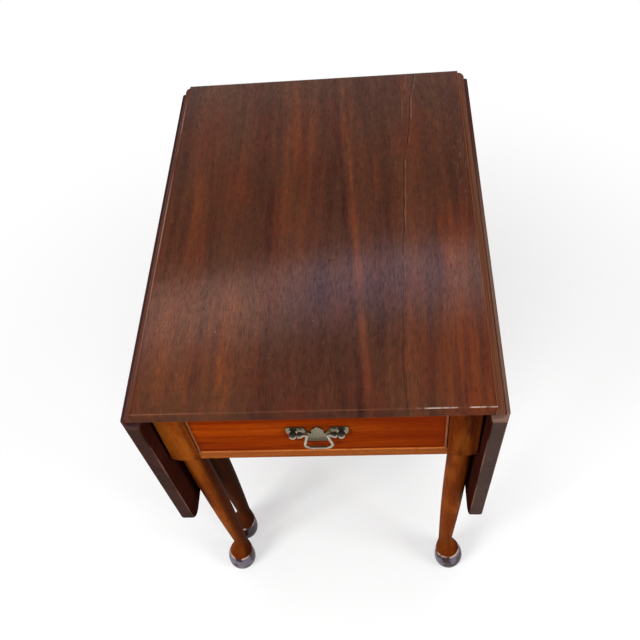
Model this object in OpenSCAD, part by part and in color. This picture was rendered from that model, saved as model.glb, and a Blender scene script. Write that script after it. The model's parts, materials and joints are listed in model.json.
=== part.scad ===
// Drop-leaf coffee table: a fixed top, two hanging leaves on rule joints, a swinging gate leg on each
// side and one drawer in the front end. X is across the table, Y runs from front to back and Z is up.
// The floor is z = 0, the middle of the table is x = y = 0, and the drawer faces -Y.

/* [Table] */
// Height of the top above the floor
table_h = 610; // [560:1:720]
// Length of the top and of the leaves, front to back
top_len = 604; // [590:1:680]
// Distance between the two hinge lines
hinge_span = 426; // [420:1:480]
// Thickness of the top and of the leaves
board_t = 19; // [18.5:0.1:22]
// Width of a leaf from its hinge line to its free edge
leaf_w = 316; // [220:1:330]
// Radius of the eased arris on the ends of the top and round the free edges of the leaves
end_ease = 3; // [1:0.1:4]
// Radius of a leaf's free corners, seen square to its face
leaf_corner = 24; // [6:1:40]
// Angle by which the left leaf hangs in from upright
left_hang = 1; // [0:0.1:2]
// Angle by which the right leaf hangs in from upright
right_hang = 2; // [0:0.1:2.1]

/* [Rule joint] */
// Height of the hinge line above the underside of the boards
hinge_rise = 3; // [2.8:0.1:3.6]
// Radius of the quarter-round on the edge of the top
joint_r = 11; // [10:0.1:13.5]
// Gap between the quarter-round and the cove of the leaf
joint_gap = 0.7; // [0.5:0.1:1]

/* [Leaf hinges] */
// Length of a hinge along its pin
hinge_len = 38; // [32:1:50]
// Distance of a hinge from the middle of the table
hinge_y = 200; // [140:1:240]
// Thickness of a hinge plate
leaf_plate_t = 2; // [1.6:0.1:2.2]
// Length of the plate on the top
short_plate = 32; // [26:1:40]
// Length of the plate on the leaf
long_plate = 58; // [48:1:70]
// Radius of a hinge pin
hinge_pin_r = 1.2; // [1:0.1:1.4]
// Radius of the shank of a hinge screw
hinge_screw_r = 1.6; // [1.2:0.1:2]
// Length of a hinge screw
hinge_screw_len = 12; // [9:0.5:14]

/* [Legs] */
// Side of the square block at the head of a leg
block = 40; // [37:1:46]
// Length of that block
block_len = 146; // [132:1:150]
// Radius by which the corners of the block are turned round at its lower end
block_round = 10; // [6:1:12]
// Distance from the hanging leaf, when upright, to the block
leg_setback = 6.5; // [6:0.5:12]
// Overhang of the top past the legs at the front and at the back
end_overhang = 21.5; // [20:0.1:40]
// Radius of the turned shank below the block
shank_r = 16; // [13:0.1:18]
// Swell of the shank at mid length over a straight taper
shank_swell = 1.5; // [0:0.1:2]
// Height of the ankle above the floor
ankle_h = 70; // [60:1:90]
// Radius of the ankle
ankle_r = 10.7; // [9:0.1:12]
// Shift of the ankle from the middle of the block, inwards along X and along Y
ankle_shift = 7; // [4:0.5:8]
// Largest radius of the club foot
foot_r = 23.5; // [19:0.5:28]
// Height at which the foot is widest
foot_h = 17; // [12:0.5:24]
// Radius of the flat sole
sole_r = 16.2; // [12:0.1:18]

/* [Rails] */
// Thickness of the side rails and of the back rail
rail_t = 18; // [16:0.5:19]
// Height of the lower edge of those rails above the lower end of the block
rail_rise = 8; // [6:0.5:9]
// Thickness of a tenon
tenon_t = 8; // [6:0.5:9]
// Length of the tenons of the side rails and the back rail
tenon_len = 20; // [14:1:22]
// Distance from the outer face of the leg to the back rail
back_inset = 2; // [1:0.5:3]
// Glue line left all round a tenon
glue_gap = 0.05; // [0.02:0.01:0.1]

/* [Gates] */
// Running gap between a gate and the side rail
gate_gap = 1; // [0.6:0.1:1.5]
// Distance from a closed gate leg to the fixed leg beside it
gate_leg_gap = 15.2; // [8:0.1:40]
// Number of fingers in the wooden knuckle joint
fingers = 5; // [3:2:7]
// Gap between two fingers, and between the fingers and the shoulder
finger_gap = 0.4; // [0.3:0.1:0.8]
// Radius of the steel gate pin
gate_pin_r = 3; // [2:0.1:4]
// Gap between the top of a gate and the table top
gate_top_gap = 0.5; // [0.3:0.1:2]
// Height of a closed gate foot above the floor
foot_lift = 0.5; // [0.2:0.1:1.5]

/* [Drawer opening] */
// Setback of the rails and the drawer front from the face of the legs
face_setback = 1; // [0:0.1:2]
// Thickness of the rail under the drawer
drawer_rail_t = 18; // [16:0.5:20]
// Height of that rail's lower edge above the lower end of the block
drawer_rail_rise = 4; // [2:0.5:6]
// Thickness of the rail over the drawer, and of the kickers behind it
top_rail_t = 18; // [15:0.5:20]
// Width of the runners and the kickers
runner_w = 18; // [16:0.5:24]
// Length of the stub tenons of the drawer rail
stub_len = 14; // [10:1:15]
// Depth of the dovetail of the top rail
rail_tail_len = 12; // [9:1:13]

/* [Drawer] */
// Length of the drawer over all
drawer_len = 460; // [380:5:500]
// Gap between the drawer front and the legs at each end
drawer_side_gap = 1; // [0.6:0.1:2]
// Gap between the drawer and the rail over it
drawer_top_gap = 1.2; // [0.8:0.1:2]
// Running gap between the drawer and its runners
drawer_lift = 0.3; // [0.2:0.05:0.5]
// Thickness of the drawer front
front_t = 18; // [16.5:0.5:22]
// Wood left in front of the dovetails of the drawer front
front_lap = 6; // [5.5:0.5:7.5]
// Thickness of the drawer sides
side_t = 12; // [10:0.5:14]
// Thickness of the drawer back
drawer_back_t = 10; // [8:0.5:12]
// Thickness of the drawer bottom
bottom_t = 5; // [4:0.5:6]
// Height of the drawer bottom above the lower edge of the drawer
bottom_rise = 9; // [7:0.5:10]
// Depth of the groove that holds the drawer bottom
groove = 5; // [4:0.5:6]
// Number of dovetails at each corner of the drawer
tails = 4; // [3:1:5]
// Thickness of the cockbead
bead_t = 3; // [2.4:0.1:4]
// Depth of the rebate that the cockbead is glued into
bead_depth = 4.5; // [4:0.5:5]

/* [Handle] */
// Width of the backplate
plate_w = 79; // [74:0.5:90]
// Height of the backplate at its middle
plate_h = 35.5; // [32:0.5:42]
// Thickness of the backplate
plate_t = 1.6; // [1.2:0.1:2.4]
// Distance between the two posts
post_span = 61; // [56:0.5:64]
// Radius of the shank of a post
post_r = 2.4; // [2:0.1:3]
// Radius of the ball of a post
ball_r = 5.3; // [4.2:0.1:5.4]
// Distance from the backplate to the middle of the ball
ball_out = 6; // [5.4:0.1:8]
// Height of the posts above the lower edge of the drawer front
post_rise = 57.2; // [44:0.1:60]
// Radius of the wire of the bail
wire_r = 2.1; // [1.6:0.1:2.2]
// Width of the loop of the bail between the middles of its two sides, where it is widest
bail_w = 35; // [33:0.5:42]
// Angle by which the sides of the loop spread from upright
bail_flare = 12; // [0:1:16]
// Distance from the posts down to the middle of the grip
bail_drop = 34; // [28:0.5:40]
// Radius of the tip of the bail inside the ball
tip_r = 1.5; // [1.2:0.1:1.8]
// Radius of the barrel on each arm of the bail, beside the ball
bail_end_r = 4.2; // [2.4:0.1:4.5]

/* [Hidden] */
$fn = 64;
under_z = table_h - board_t;
pin_x = hinge_span / 2;
pin_z = under_z + hinge_rise;
leg_x = pin_x - hinge_rise - leg_setback - block / 2;
leg_y = top_len / 2 - end_overhang - block / 2;
block_z = under_z - block_len;
inner_x = leg_x - block / 2;
outer_x = leg_x + block / 2;
inner_y = leg_y - block / 2;
outer_y = leg_y + block / 2;
rail_z = block_z + rail_rise;
face_y = -outer_y + face_setback;
back_y = outer_y - back_inset - rail_t;
drawer_rail_z = block_z + drawer_rail_rise;
drawer_z = drawer_rail_z + drawer_rail_t + drawer_lift;
opening_top = under_z - top_rail_t;
over = 1;                    // how far a cutting shape runs past the face that it cuts
lap = 0.4;                   // how far one part of a leg runs inside the next
block_ease = 0.5;            // depth of the flat round turned at the lower end of the block
toe_bend = 1.25;             // power of the sine that shapes the toe, which hollows it below the ankle
root = 4;                    // length by which the shaft runs up into the block, and down into the foot
fixed_fit = 0.02;            // radial gap of a pin in the bore that holds it still
running_fit = 0.06;          // radial gap of a pin in the bore that turns on it
screw_fit = 0.05;            // gap all round a screw

tenon_low = 3;               // height of the tenons above the drawer rail
tenon_haunch = 20;           // wood left over the tenons
tenon_z0 = drawer_rail_z + drawer_rail_t + tenon_low;
tenon_z1 = under_z - tenon_haunch;
stub_margin = 4;             // shoulder above and below a stub tenon
stub_t = drawer_rail_t - 2 * stub_margin;

knuckle_x0 = inner_x + rail_t + gate_gap;
knuckle_r = (outer_x - knuckle_x0) / 2;
pivot_x = (outer_x + knuckle_x0) / 2;
shoulder = knuckle_r + finger_gap;
gate_y = leg_y - block - gate_leg_gap;
gate_z1 = under_z - gate_top_gap;
finger_h = (gate_z1 - rail_z) / fingers;
fly_screw_r = 2.1;
fly_screw_grip = 14;         // length of a fly screw in the fly rail
fly_screw_len = rail_t + fly_screw_grip;
fly_screws_y = [inner_y * 0.22, inner_y * 0.5, inner_y * 0.82];

top_screw_r = 2.1;
top_screw_len = top_rail_t + board_t * 0.6;
kicker_x = inner_x - runner_w / 2;
kicker_screws_y = [-inner_y * 0.75, 0, inner_y * 0.75];
rail_screw_x = inner_x * 0.45;

barrel_r = hinge_rise;
middle_knuckle = hinge_len / 3;
knuckle_slit = 0.3;          // gap between two knuckles of a leaf hinge
knuckle_clear = 1.5;         // gap between a knuckle and the other plate's notch
bed_clear = 0.4;             // room over the leaf's plate in the slot cut for it

half_w = inner_x - drawer_side_gap;
drawer_top = opening_top - drawer_top_gap;
front_back_y = face_y + front_t;
drawer_back_y = face_y + drawer_len;
bead_r = bead_t / 2;
nose_r = bead_r - 0.1;
bottom_z = drawer_z + bottom_rise;
tail_slope = 1 / 7;
back_z0 = bottom_z + bottom_t;
back_drop = 8;               // the drawer back stops short of the drawer's top edge
back_z1 = drawer_top - back_drop;
bottom_play = 0.3;           // room for the drawer bottom in its grooves
bottom_pin_r = 1.2;
bottom_pin_len = 18;
bottom_pin_head_r = 2.6;
bottom_pin_head_t = 0.8;
stop_w = 30;
stop_top_gap = 4;            // from the drawer stops up to the drawer bottom
glue_block_leg = 16;

post_z = drawer_z + post_rise;
plate_y = face_y - plate_t;
ball_y = plate_y - ball_out;
nut_side = 9;
nut_t = 3;
nut_grip = 2;                // end of a post that stands out of its nut
post_foot_t = 1.2;           // thickness of a post's foot on the backplate
bail_end_gap = 0.3;          // from the wire's shoulder to the ball
upper_bend = 3;              // radius of the bend from an arm of the bail into the loop
lower_bend = 9;              // radius of the two lower corners of the loop
barrel_arc = 130;            // part of a sine's half turn that shapes the barrel, from the wire to the ball
barrel_bend = 1.4;           // power of that sine, which hollows the outline beside the wire

TOP = "#5a2a1c";
LEAF = "#4a2a26";
LEG = "#8a4a1e";
INNER = "#a06a3c";
DRAWER = "#9a4210";
BRASS = "#8f8a66";
STEEL = "#8a8d90";

// Places a shape drawn for the right side or the back corner on either side and at either end.
module corner(sx, sy) {
    mirror([sx < 0 ? 1 : 0, 0, 0])
        mirror([0, sy < 0 ? 1 : 0, 0])
            children();
}

// A box between two corners.
module between(low, high) {
    translate(low)
        cube(high - low);
}

// A rectangle with round corners, centred along x and standing on y = 0.
module eased_rect(w, h, r) {
    translate([-w / 2 + r, 0])
        square([w - 2 * r, h]);
    translate([-w / 2, r])
        square([w, h - 2 * r]);
    for (x = [-1, 1])
        for (y = [r, h - r])
            translate([x * (w / 2 - r), y])
                circle(r);
}

// A slotted countersunk wood screw, its head at z = 0 and its point up.
module screw(shank_r, len) {
    head_r = 2 * shank_r;
    difference() {
        union() {
            cylinder(h = shank_r, r1 = head_r, r2 = shank_r);
            cylinder(h = len - 2 * shank_r, r = shank_r);
            translate([0, 0, len - 2 * shank_r])
                cylinder(h = 2 * shank_r, r1 = shank_r, r2 = shank_r * 0.2);
        }
        translate([-head_r, -shank_r * 0.2, -over])
            cube([2 * head_r, shank_r * 0.4, over + shank_r * 0.5]);
    }
}

// The hole for that screw, a little wider all round.
module screw_hole(shank_r, len) {
    head_r = 2 * shank_r;
    translate([0, 0, -over])
        cylinder(h = len + over + screw_fit, r = shank_r + screw_fit);
    translate([0, 0, -screw_fit])
        cylinder(h = shank_r + screw_fit, r1 = head_r + 2 * screw_fit, r2 = shank_r + screw_fit);
    translate([0, 0, -over])
        cylinder(h = over, r = head_r + 2 * screw_fit);
}

// Outline of the top across the table: a flat board with a fillet and a quarter-round at each hinge line.
module top_outline() {
    translate([-pin_x, under_z])
        square([hinge_span, board_t]);
    intersection() {
        for (side = [-1, 1])
            translate([side * pin_x, pin_z])
                circle(joint_r);
        translate([-pin_x - joint_r - over, under_z])
            square([hinge_span + 2 * (joint_r + over), board_t]);
    }
}

// Room for one leaf hinge in the top: the plate's bed, the gouge for the barrel and a slot for the leaf's plate.
module hinge_bed() {
    bed = hinge_len / 2 + knuckle_slit;
    between([pin_x - short_plate, -hinge_len / 2, under_z - over], [pin_x, hinge_len / 2, under_z + leaf_plate_t]);
    between([pin_x, -bed, under_z - over], [pin_x + joint_r + over, bed, under_z + leaf_plate_t + bed_clear]);
    translate([pin_x, bed, pin_z])
        rotate([90, 0, 0])
            cylinder(h = 2 * bed, r = barrel_r + knuckle_clear + bed_clear / 2);
}

// Places children at both hinges of one side.
module at_hinges(side) {
    for (y = [-hinge_y, hinge_y])
        corner(side, 1)
            translate([0, y, 0])
                children();
}

// Places of the screws in the plate on the top and in the plate on the leaf.
module at_short_screws() {
    for (y = [-1, 1])
        translate([pin_x - short_plate * 0.66, y * hinge_len * 0.28, under_z])
            children();
}

module at_long_screws() {
    for (p = [[0.45, 0.28], [0.45, -0.28], [0.82, 0]])
        translate([pin_x + long_plate * p[0], hinge_len * p[1], under_z])
            children();
}

module at_top_screws() {
    for (side = [-1, 1])
        for (y = kicker_screws_y)
            translate([side * kicker_x, y, opening_top])
                children();
    for (side = [-1, 1])
        translate([side * rail_screw_x, -leg_y, opening_top])
            children();
}

module top_board() {
    color(TOP)
        difference() {
            intersection() {
                rotate([90, 0, 0])
                    linear_extrude(top_len, center = true)
                        top_outline();
                rotate([90, 0, 90])
                    linear_extrude(hinge_span + 2 * (joint_r + over), center = true)
                        translate([0, under_z])
                            eased_rect(top_len, board_t, end_ease);
            }
            for (side = [-1, 1])
                at_hinges(side) {
                    hinge_bed();
                    at_short_screws()
                        screw_hole(hinge_screw_r, hinge_screw_len);
                }
            at_top_screws()
                screw_hole(top_screw_r, top_screw_len);
        }
}

// Edge profile of a leaf: a flat board of width w from x = 0 to its eased edge.
module eased_side(w) {
    intersection() {
        eased_rect(2 * w, board_t, end_ease);
        square([w, board_t]);
    }
}

// The board of a leaf before its joint is cut, drawn on the right. The eased edge runs along one end, round the
// free corner, along the free edge and back.
module leaf_blank() {
    corner_x = pin_x + leaf_w - leaf_corner;
    corner_y = top_len / 2 - leaf_corner;
    rotate([90, 0, 0])
        linear_extrude(2 * corner_y, center = true)
            translate([pin_x, under_z])
                eased_side(leaf_w);
    translate([pin_x, 0, under_z])
        rotate([90, 0, 90])
            linear_extrude(corner_x - pin_x)
                eased_rect(top_len, board_t, end_ease);
    for (y = [-corner_y, corner_y])
        translate([corner_x, y, under_z])
            rotate_extrude()
                eased_side(leaf_corner);
}

// A leaf as it lies when it is raised on the right, with a square shoulder over the cove round the hinge line.
module raised_leaf() {
    end = top_len / 2 + over;
    difference() {
        leaf_blank();
        about_pin(-end, end, joint_r + joint_gap);
        between([pin_x - over, -end, under_z - over], [pin_x + joint_gap, end, table_h + over]);
        for (y = [-hinge_y, hinge_y])
            translate([0, y, 0]) {
                between([pin_x, -hinge_len / 2, under_z - over],
                        [pin_x + long_plate, hinge_len / 2, under_z + leaf_plate_t]);
                at_long_screws()
                    screw_hole(hinge_screw_r, hinge_screw_len);
            }
    }
}

// Lets a shape drawn with the leaf raised hang down on its side of the table.
module hang(side, angle) {
    corner(side, 1)
        translate([pin_x, 0, pin_z])
            rotate([0, 90 + angle, 0])
                translate([-pin_x, 0, -pin_z])
                    children();
}

function hang_angle(side) = side < 0 ? left_hang : right_hang;

module leaf(side) {
    color(LEAF)
        hang(side, hang_angle(side))
            raised_leaf();
}

// A cylinder about the hinge line: the leaf's cove, a knuckle, its bore, the pin, or the notch for the other
// plate's knuckle.
module about_pin(y0, y1, r) {
    translate([pin_x, y1, pin_z])
        rotate([90, 0, 0])
            cylinder(h = y1 - y0, r = r);
}

module hinge_top_plates(side) {
    m = middle_knuckle / 2;
    h = hinge_len / 2;
    color(BRASS)
        at_hinges(side)
            difference() {
                union() {
                    between([pin_x - short_plate, -h, under_z], [pin_x, h, under_z + leaf_plate_t]);
                    about_pin(-h, -m - knuckle_slit, barrel_r);
                    about_pin(m + knuckle_slit, h, barrel_r);
                }
                about_pin(-m - knuckle_slit, m + knuckle_slit, barrel_r + knuckle_clear);
                about_pin(-h - over, h + over, hinge_pin_r + fixed_fit);
                at_short_screws()
                    screw_hole(hinge_screw_r, hinge_screw_len);
            }
}

module hinge_leaf_plates(side) {
    m = middle_knuckle / 2;
    h = hinge_len / 2;
    color(BRASS)
        for (y = [-hinge_y, hinge_y])
            hang(side, hang_angle(side))
                translate([0, y, 0])
                    difference() {
                        union() {
                            difference() {
                                between([pin_x, -h, under_z], [pin_x + long_plate, h, under_z + leaf_plate_t]);
                                about_pin(-h - over, -m, barrel_r + knuckle_clear);
                                about_pin(m, h + over, barrel_r + knuckle_clear);
                            }
                            about_pin(-m, m, barrel_r);
                        }
                        about_pin(-m - over, m + over, hinge_pin_r + running_fit);
                        at_long_screws()
                            screw_hole(hinge_screw_r, hinge_screw_len);
                    }
}

module hinge_pins(side) {
    color(STEEL)
        at_hinges(side)
            about_pin(-hinge_len / 2, hinge_len / 2, hinge_pin_r);
}

module hinge_top_screws() {
    color(BRASS)
        for (side = [-1, 1])
            at_hinges(side)
                at_short_screws()
                    screw(hinge_screw_r, hinge_screw_len);
}

module leaf_screws(side) {
    color(BRASS)
        for (y = [-hinge_y, hinge_y])
            hang(side, hang_angle(side))
                translate([0, y, 0])
                    at_long_screws()
                        screw(hinge_screw_r, hinge_screw_len);
}

// Distance of the foot's outline from the middle of the block on the side of the toe and of the heel, from the
// ankle (s = 0) down to the widest ring (s = 1). The toe sweeps out and the heel drops almost straight.
function toe(s) = let (a = ankle_r - ankle_shift * sqrt(2)) a + (foot_r - a) * pow(sin(90 * s), toe_bend);
function heel(s) = let (a = ankle_r + ankle_shift * sqrt(2)) a + (foot_r - a) * sin(90 * s);

// Rings of the club foot as [shift towards the heel, radius, height]. The first lies just inside the ankle.
function foot_rings(upper, lower) = concat(
    [for (i = [0 : upper]) let (s = i / upper)
        [(heel(s) - toe(s)) / 2, (heel(s) + toe(s)) / 2 - (i == 0 ? lap : 0), ankle_h + (foot_h - ankle_h) * s]],
    [for (i = [1 : lower]) let (a = 90 * i / lower)
        [0, sole_r + (foot_r - sole_r) * cos(a), foot_h * (1 - sin(a))]]);

// A closed skin over rings of n corners, with the toe towards +X +Y.
module ring_skin(rings, n) {
    last = len(rings) - 1;
    polyhedron(
        points = [for (ring = rings) for (k = [0 : n - 1]) let (a = 360 * k / n, shift = ring[0] / sqrt(2))
            [ring[1] * cos(a) - shift, ring[1] * sin(a) - shift, ring[2]]],
        faces = concat(
            [[for (k = [n - 1 : -1 : 0]) k]],
            [for (i = [0 : last - 1]) for (k = [0 : n - 1]) let (m = (k + 1) % n)
                [i * n + k, i * n + m, (i + 1) * n + m]],
            [for (i = [0 : last - 1]) for (k = [0 : n - 1]) let (m = (k + 1) % n)
                [i * n + k, (i + 1) * n + m, (i + 1) * n + k]],
            [[for (k = [0 : n - 1]) last * n + k]]));
}

// Half outline of the block as the lathe leaves it: straight, with its corners turned round at the lower end.
module block_outline() {
    base_r = block / 2 - block_ease;
    translate([0, block_round])
        square([block, block_len]);
    square([base_r, block_round + over]);
    intersection() {
        translate([base_r, block_round])
            circle(block_round);
        square([block, block_round + over]);
    }
}

// A leg with the middle of its block on the origin, offset-turned so that its ankle leans towards -X -Y.
module club_leg() {
    drop = block_z - ankle_h;
    lean = atan(sqrt(2) * ankle_shift / drop);
    reach = drop / cos(lean);
    steps = 10;
    intersection() {
        translate([-block / 2, -block / 2, block_z])
            cube([block, block, block_len]);
        translate([0, 0, block_z])
            rotate_extrude()
                block_outline();
    }
    translate([0, 0, block_z])
        rotate(lean, v = [-1, 1, 0])
            rotate_extrude()
                polygon(concat(
                    [[0, root], [shank_r, root]],
                    [for (i = [0 : steps]) let (t = i / steps)
                        [shank_r + (ankle_r - shank_r) * t + shank_swell * sin(180 * t), -reach * t]],
                    [[ankle_r - lap / 4, -reach - root], [0, -reach - root]]));
    ring_skin(foot_rings(7, 4), 24);
}

// Tenons, drawn for the back right corner. The same shapes, grown by the glue line, cut the mortises.
module side_tenon(c) {
    between([inner_x + (rail_t - tenon_t) / 2 - c, inner_y - over, tenon_z0 - c],
            [inner_x + (rail_t + tenon_t) / 2 + c, inner_y + tenon_len + c, tenon_z1 + c]);
}

module back_tenon(c) {
    between([inner_x - over, back_y + (rail_t - tenon_t) / 2 - c, tenon_z0 - c],
            [inner_x + tenon_len + c, back_y + (rail_t + tenon_t) / 2 + c, tenon_z1 + c]);
}

// Two stub tenons of the drawer rail, drawn for the front right corner.
module stub_tenons(c) {
    depth = -inner_y - face_y;
    for (part = [0.25, 0.75])
        between([inner_x - over, face_y + depth * part - stub_t / 2 - c, drawer_rail_z + stub_margin - c],
                [inner_x + stub_len + c, face_y + depth * part + stub_t / 2 + c,
                    drawer_rail_z + drawer_rail_t - stub_margin + c]);
}

// The dovetail that lets the top rail into the top of a front leg.
module rail_tail(c) {
    depth = -inner_y - face_y;
    narrow = depth * 0.2 + c;
    wide = depth * 0.3 + c;
    translate([inner_x, face_y + depth / 2, under_z - top_rail_t * 0.7 - c])
        linear_extrude(top_rail_t * 0.7 + c + (c > 0 ? over : 0))
            polygon([[-over, -narrow], [0, -narrow], [rail_tail_len + c, -wide],
                [rail_tail_len + c, wide], [0, narrow], [-over, narrow]]);
}

module front_leg(side) {
    color(LEG)
        difference() {
            corner(side, -1)
                translate([leg_x, leg_y, 0])
                    club_leg();
            corner(side, -1)
                side_tenon(glue_gap);
            corner(side, 1) {
                stub_tenons(glue_gap);
                rail_tail(glue_gap);
            }
        }
}

module back_leg(side) {
    color(LEG)
        difference() {
            corner(side, 1)
                translate([leg_x, leg_y, 0])
                    club_leg();
            corner(side, 1) {
                side_tenon(glue_gap);
                back_tenon(glue_gap);
            }
        }
}

// Each gate stands on the right at the back or on the left at the front.
module gate_side(side) {
    rotate([0, 0, side < 0 ? 180 : 0])
        children();
}

// Screws from inside the side rail into the fixed fly rail.
module at_fly_screws(side) {
    gate_side(side)
        for (y = fly_screws_y)
            for (part = [0.28, 0.72])
                translate([inner_x, -y, rail_z + (gate_z1 - rail_z) * part])
                    rotate([0, 90, 0])
                        children();
}

module side_rail(side) {
    color(INNER)
        difference() {
            corner(side, 1) {
                between([inner_x, -inner_y, rail_z], [inner_x + rail_t, inner_y, under_z]);
                side_tenon(0);
                mirror([0, 1, 0])
                    side_tenon(0);
            }
            at_fly_screws(side)
                screw_hole(fly_screw_r, fly_screw_len);
        }
}

module back_rail() {
    color(INNER) {
        between([-inner_x, back_y, rail_z], [inner_x, back_y + rail_t, under_z]);
        for (side = [-1, 1])
            corner(side, 1)
                back_tenon(0);
    }
}

module drawer_rail() {
    color(LEG) {
        between([-inner_x, face_y, drawer_rail_z], [inner_x, -inner_y, drawer_rail_z + drawer_rail_t]);
        for (side = [-1, 1])
            corner(side, 1)
                stub_tenons(0);
    }
}

module top_rail() {
    color(LEG)
        difference() {
            union() {
                between([-inner_x, face_y, opening_top], [inner_x, -inner_y, under_z]);
                for (side = [-1, 1])
                    corner(side, 1)
                        rail_tail(0);
            }
            at_top_screws()
                screw_hole(top_screw_r, top_screw_len);
        }
}

module kicker(side) {
    color(INNER)
        difference() {
            corner(side, 1)
                between([inner_x - runner_w, -inner_y, opening_top], [inner_x, back_y, under_z]);
            at_top_screws()
                screw_hole(top_screw_r, top_screw_len);
        }
}

module runner(side) {
    color(INNER)
        corner(side, 1)
            between([inner_x - runner_w, -inner_y, rail_z], [inner_x, back_y, drawer_z - drawer_lift]);
}

// Two blocks on the drawer rail that the drawer front comes home against.
module drawer_stops() {
    stop_h = bottom_rise - stop_top_gap;
    color(INNER)
        for (side = [-1, 1])
            between([side * half_w * 0.6 - stop_w / 2, front_back_y + drawer_lift, drawer_z - drawer_lift],
                    [side * half_w * 0.6 + stop_w / 2, -inner_y, drawer_z + stop_h]);
}

// Three-cornered blocks glued in the angle between the back rail and the top.
module glue_blocks() {
    color(INNER)
        for (x = [-inner_x * 0.5, 0, inner_x * 0.5])
            translate([x - glue_block_leg, back_y, under_z])
                rotate([90, 0, 90])
                    linear_extrude(2 * glue_block_leg)
                        polygon([[0, 0], [-glue_block_leg, 0], [0, -glue_block_leg]]);
}

module top_screws() {
    color(STEEL)
        at_top_screws()
            screw(top_screw_r, top_screw_len);
}

module fly_screws() {
    color(STEEL)
        for (side = [-1, 1])
            at_fly_screws(side)
                screw(fly_screw_r, fly_screw_len);
}

// One half of a wooden knuckle joint: the fingers with the given parity, which reach from the rail at dir = +1 or
// -1 along Y to the pin.
module knuckle_fingers(parity, dir, bore) {
    half = shoulder + over;
    for (i = [parity : 2 : fingers - 1]) {
        z0 = rail_z + i * finger_h + (i == 0 ? 0 : finger_gap / 2);
        z1 = rail_z + (i + 1) * finger_h - (i == fingers - 1 ? 0 : finger_gap / 2);
        difference() {
            union() {
                translate([pivot_x, 0, z0])
                    cylinder(h = z1 - z0, r = knuckle_r);
                translate([pivot_x - knuckle_r, dir > 0 ? 0 : -half, z0])
                    cube([2 * knuckle_r, half, z1 - z0]);
            }
            translate([pivot_x, 0, z0 - over])
                cylinder(h = z1 - z0 + 2 * over, r = bore);
        }
    }
}

module fly_rail(side) {
    color(INNER)
        difference() {
            gate_side(side) {
                between([inner_x + rail_t, -inner_y, rail_z], [outer_x, -shoulder, gate_z1]);
                knuckle_fingers(0, -1, gate_pin_r + fixed_fit);
            }
            at_fly_screws(side)
                screw_hole(fly_screw_r, fly_screw_len);
        }
}

module gate_tenon(c) {
    between([pivot_x - tenon_t / 2 - c, gate_y - block / 2 - over, tenon_z0 - c],
            [pivot_x + tenon_t / 2 + c, gate_y - block / 2 + tenon_len + c, tenon_z1 + c]);
}

module gate_rail(side) {
    color(INNER)
        gate_side(side) {
            between([knuckle_x0, shoulder, rail_z], [outer_x, gate_y - block / 2, gate_z1]);
            knuckle_fingers(1, 1, gate_pin_r + running_fit);
            gate_tenon(0);
        }
}

// A gate leg is a club leg whose block is cut away round the side rail.
module gate_leg(side) {
    color(LEG)
        gate_side(side)
            difference() {
                translate([leg_x, gate_y, foot_lift])
                    club_leg();
                between([inner_x - over, gate_y - block, rail_z - gate_gap],
                        [knuckle_x0, gate_y + block, table_h]);
                between([inner_x, gate_y - block, gate_z1], [outer_x + over, gate_y + block, table_h]);
                gate_tenon(glue_gap);
            }
}

module gate_pin(side) {
    color(STEEL)
        gate_side(side)
            translate([pivot_x, 0, rail_z])
                cylinder(h = gate_z1 - rail_z, r = gate_pin_r);
}

// Dovetails drawn at the front right corner of the drawer, as tails of the drawer side that point along -Y from
// y = 0. The neck is narrower than the end, and c grows them for the sockets.
module dovetails(len, z0, z1, c) {
    pitch = (z1 - z0) / tails;
    end_w = pitch * 0.78;
    neck_w = end_w - 2 * len * tail_slope;
    for (i = [0 : tails - 1])
        translate([half_w + c, 0, z0 + pitch * (i + 0.5)])
            rotate([0, -90, 0])
                linear_extrude(side_t + 2 * c)
                    polygon([[-neck_w / 2 - c, over], [-neck_w / 2 - c, 0], [-end_w / 2 - c, -len - c],
                        [end_w / 2 + c, -len - c], [neck_w / 2 + c, 0], [neck_w / 2 + c, over]]);
}

module front_tails(c) {
    translate([0, front_back_y, 0])
        dovetails(front_t - front_lap, drawer_z, drawer_top, c);
}

// The tails at the back point along +Y through the full thickness of the drawer back.
module back_tails(c) {
    translate([0, drawer_back_y - drawer_back_t, 0])
        mirror([0, 1, 0])
            dovetails(drawer_back_t, back_z0, back_z1, c);
}

// The groove, or the panel in it: a board that runs from the drawer front to the back end.
module bottom_board(c) {
    play = c > 0 ? 0 : bottom_play;
    edge = half_w - side_t + groove - play;
    between([-edge, front_back_y - groove + play, bottom_z - c],
            [edge, drawer_back_y + (c > 0 ? over : 0), bottom_z + bottom_t + c]);
}

module at_posts() {
    for (side = [-1, 1])
        translate([side * post_span / 2, 0, post_z])
            rotate([90, 0, 0])
                children();
}

module drawer_front() {
    color(DRAWER)
        difference() {
            between([-half_w, face_y, drawer_z], [half_w, front_back_y, drawer_top]);
            difference() {
                between([-half_w - over, face_y - over, drawer_z - over],
                        [half_w + over, face_y + bead_depth, drawer_top + over]);
                between([-half_w + bead_t, face_y - 2 * over, drawer_z + bead_t],
                        [half_w - bead_t, front_back_y, drawer_top - bead_t]);
            }
            for (side = [-1, 1])
                corner(side, 1)
                    front_tails(glue_gap);
            bottom_board(glue_gap);
            at_posts()
                translate([0, 0, -front_back_y - over])
                    cylinder(h = front_t + 2 * over, r = post_r + screw_fit);
        }
}

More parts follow.
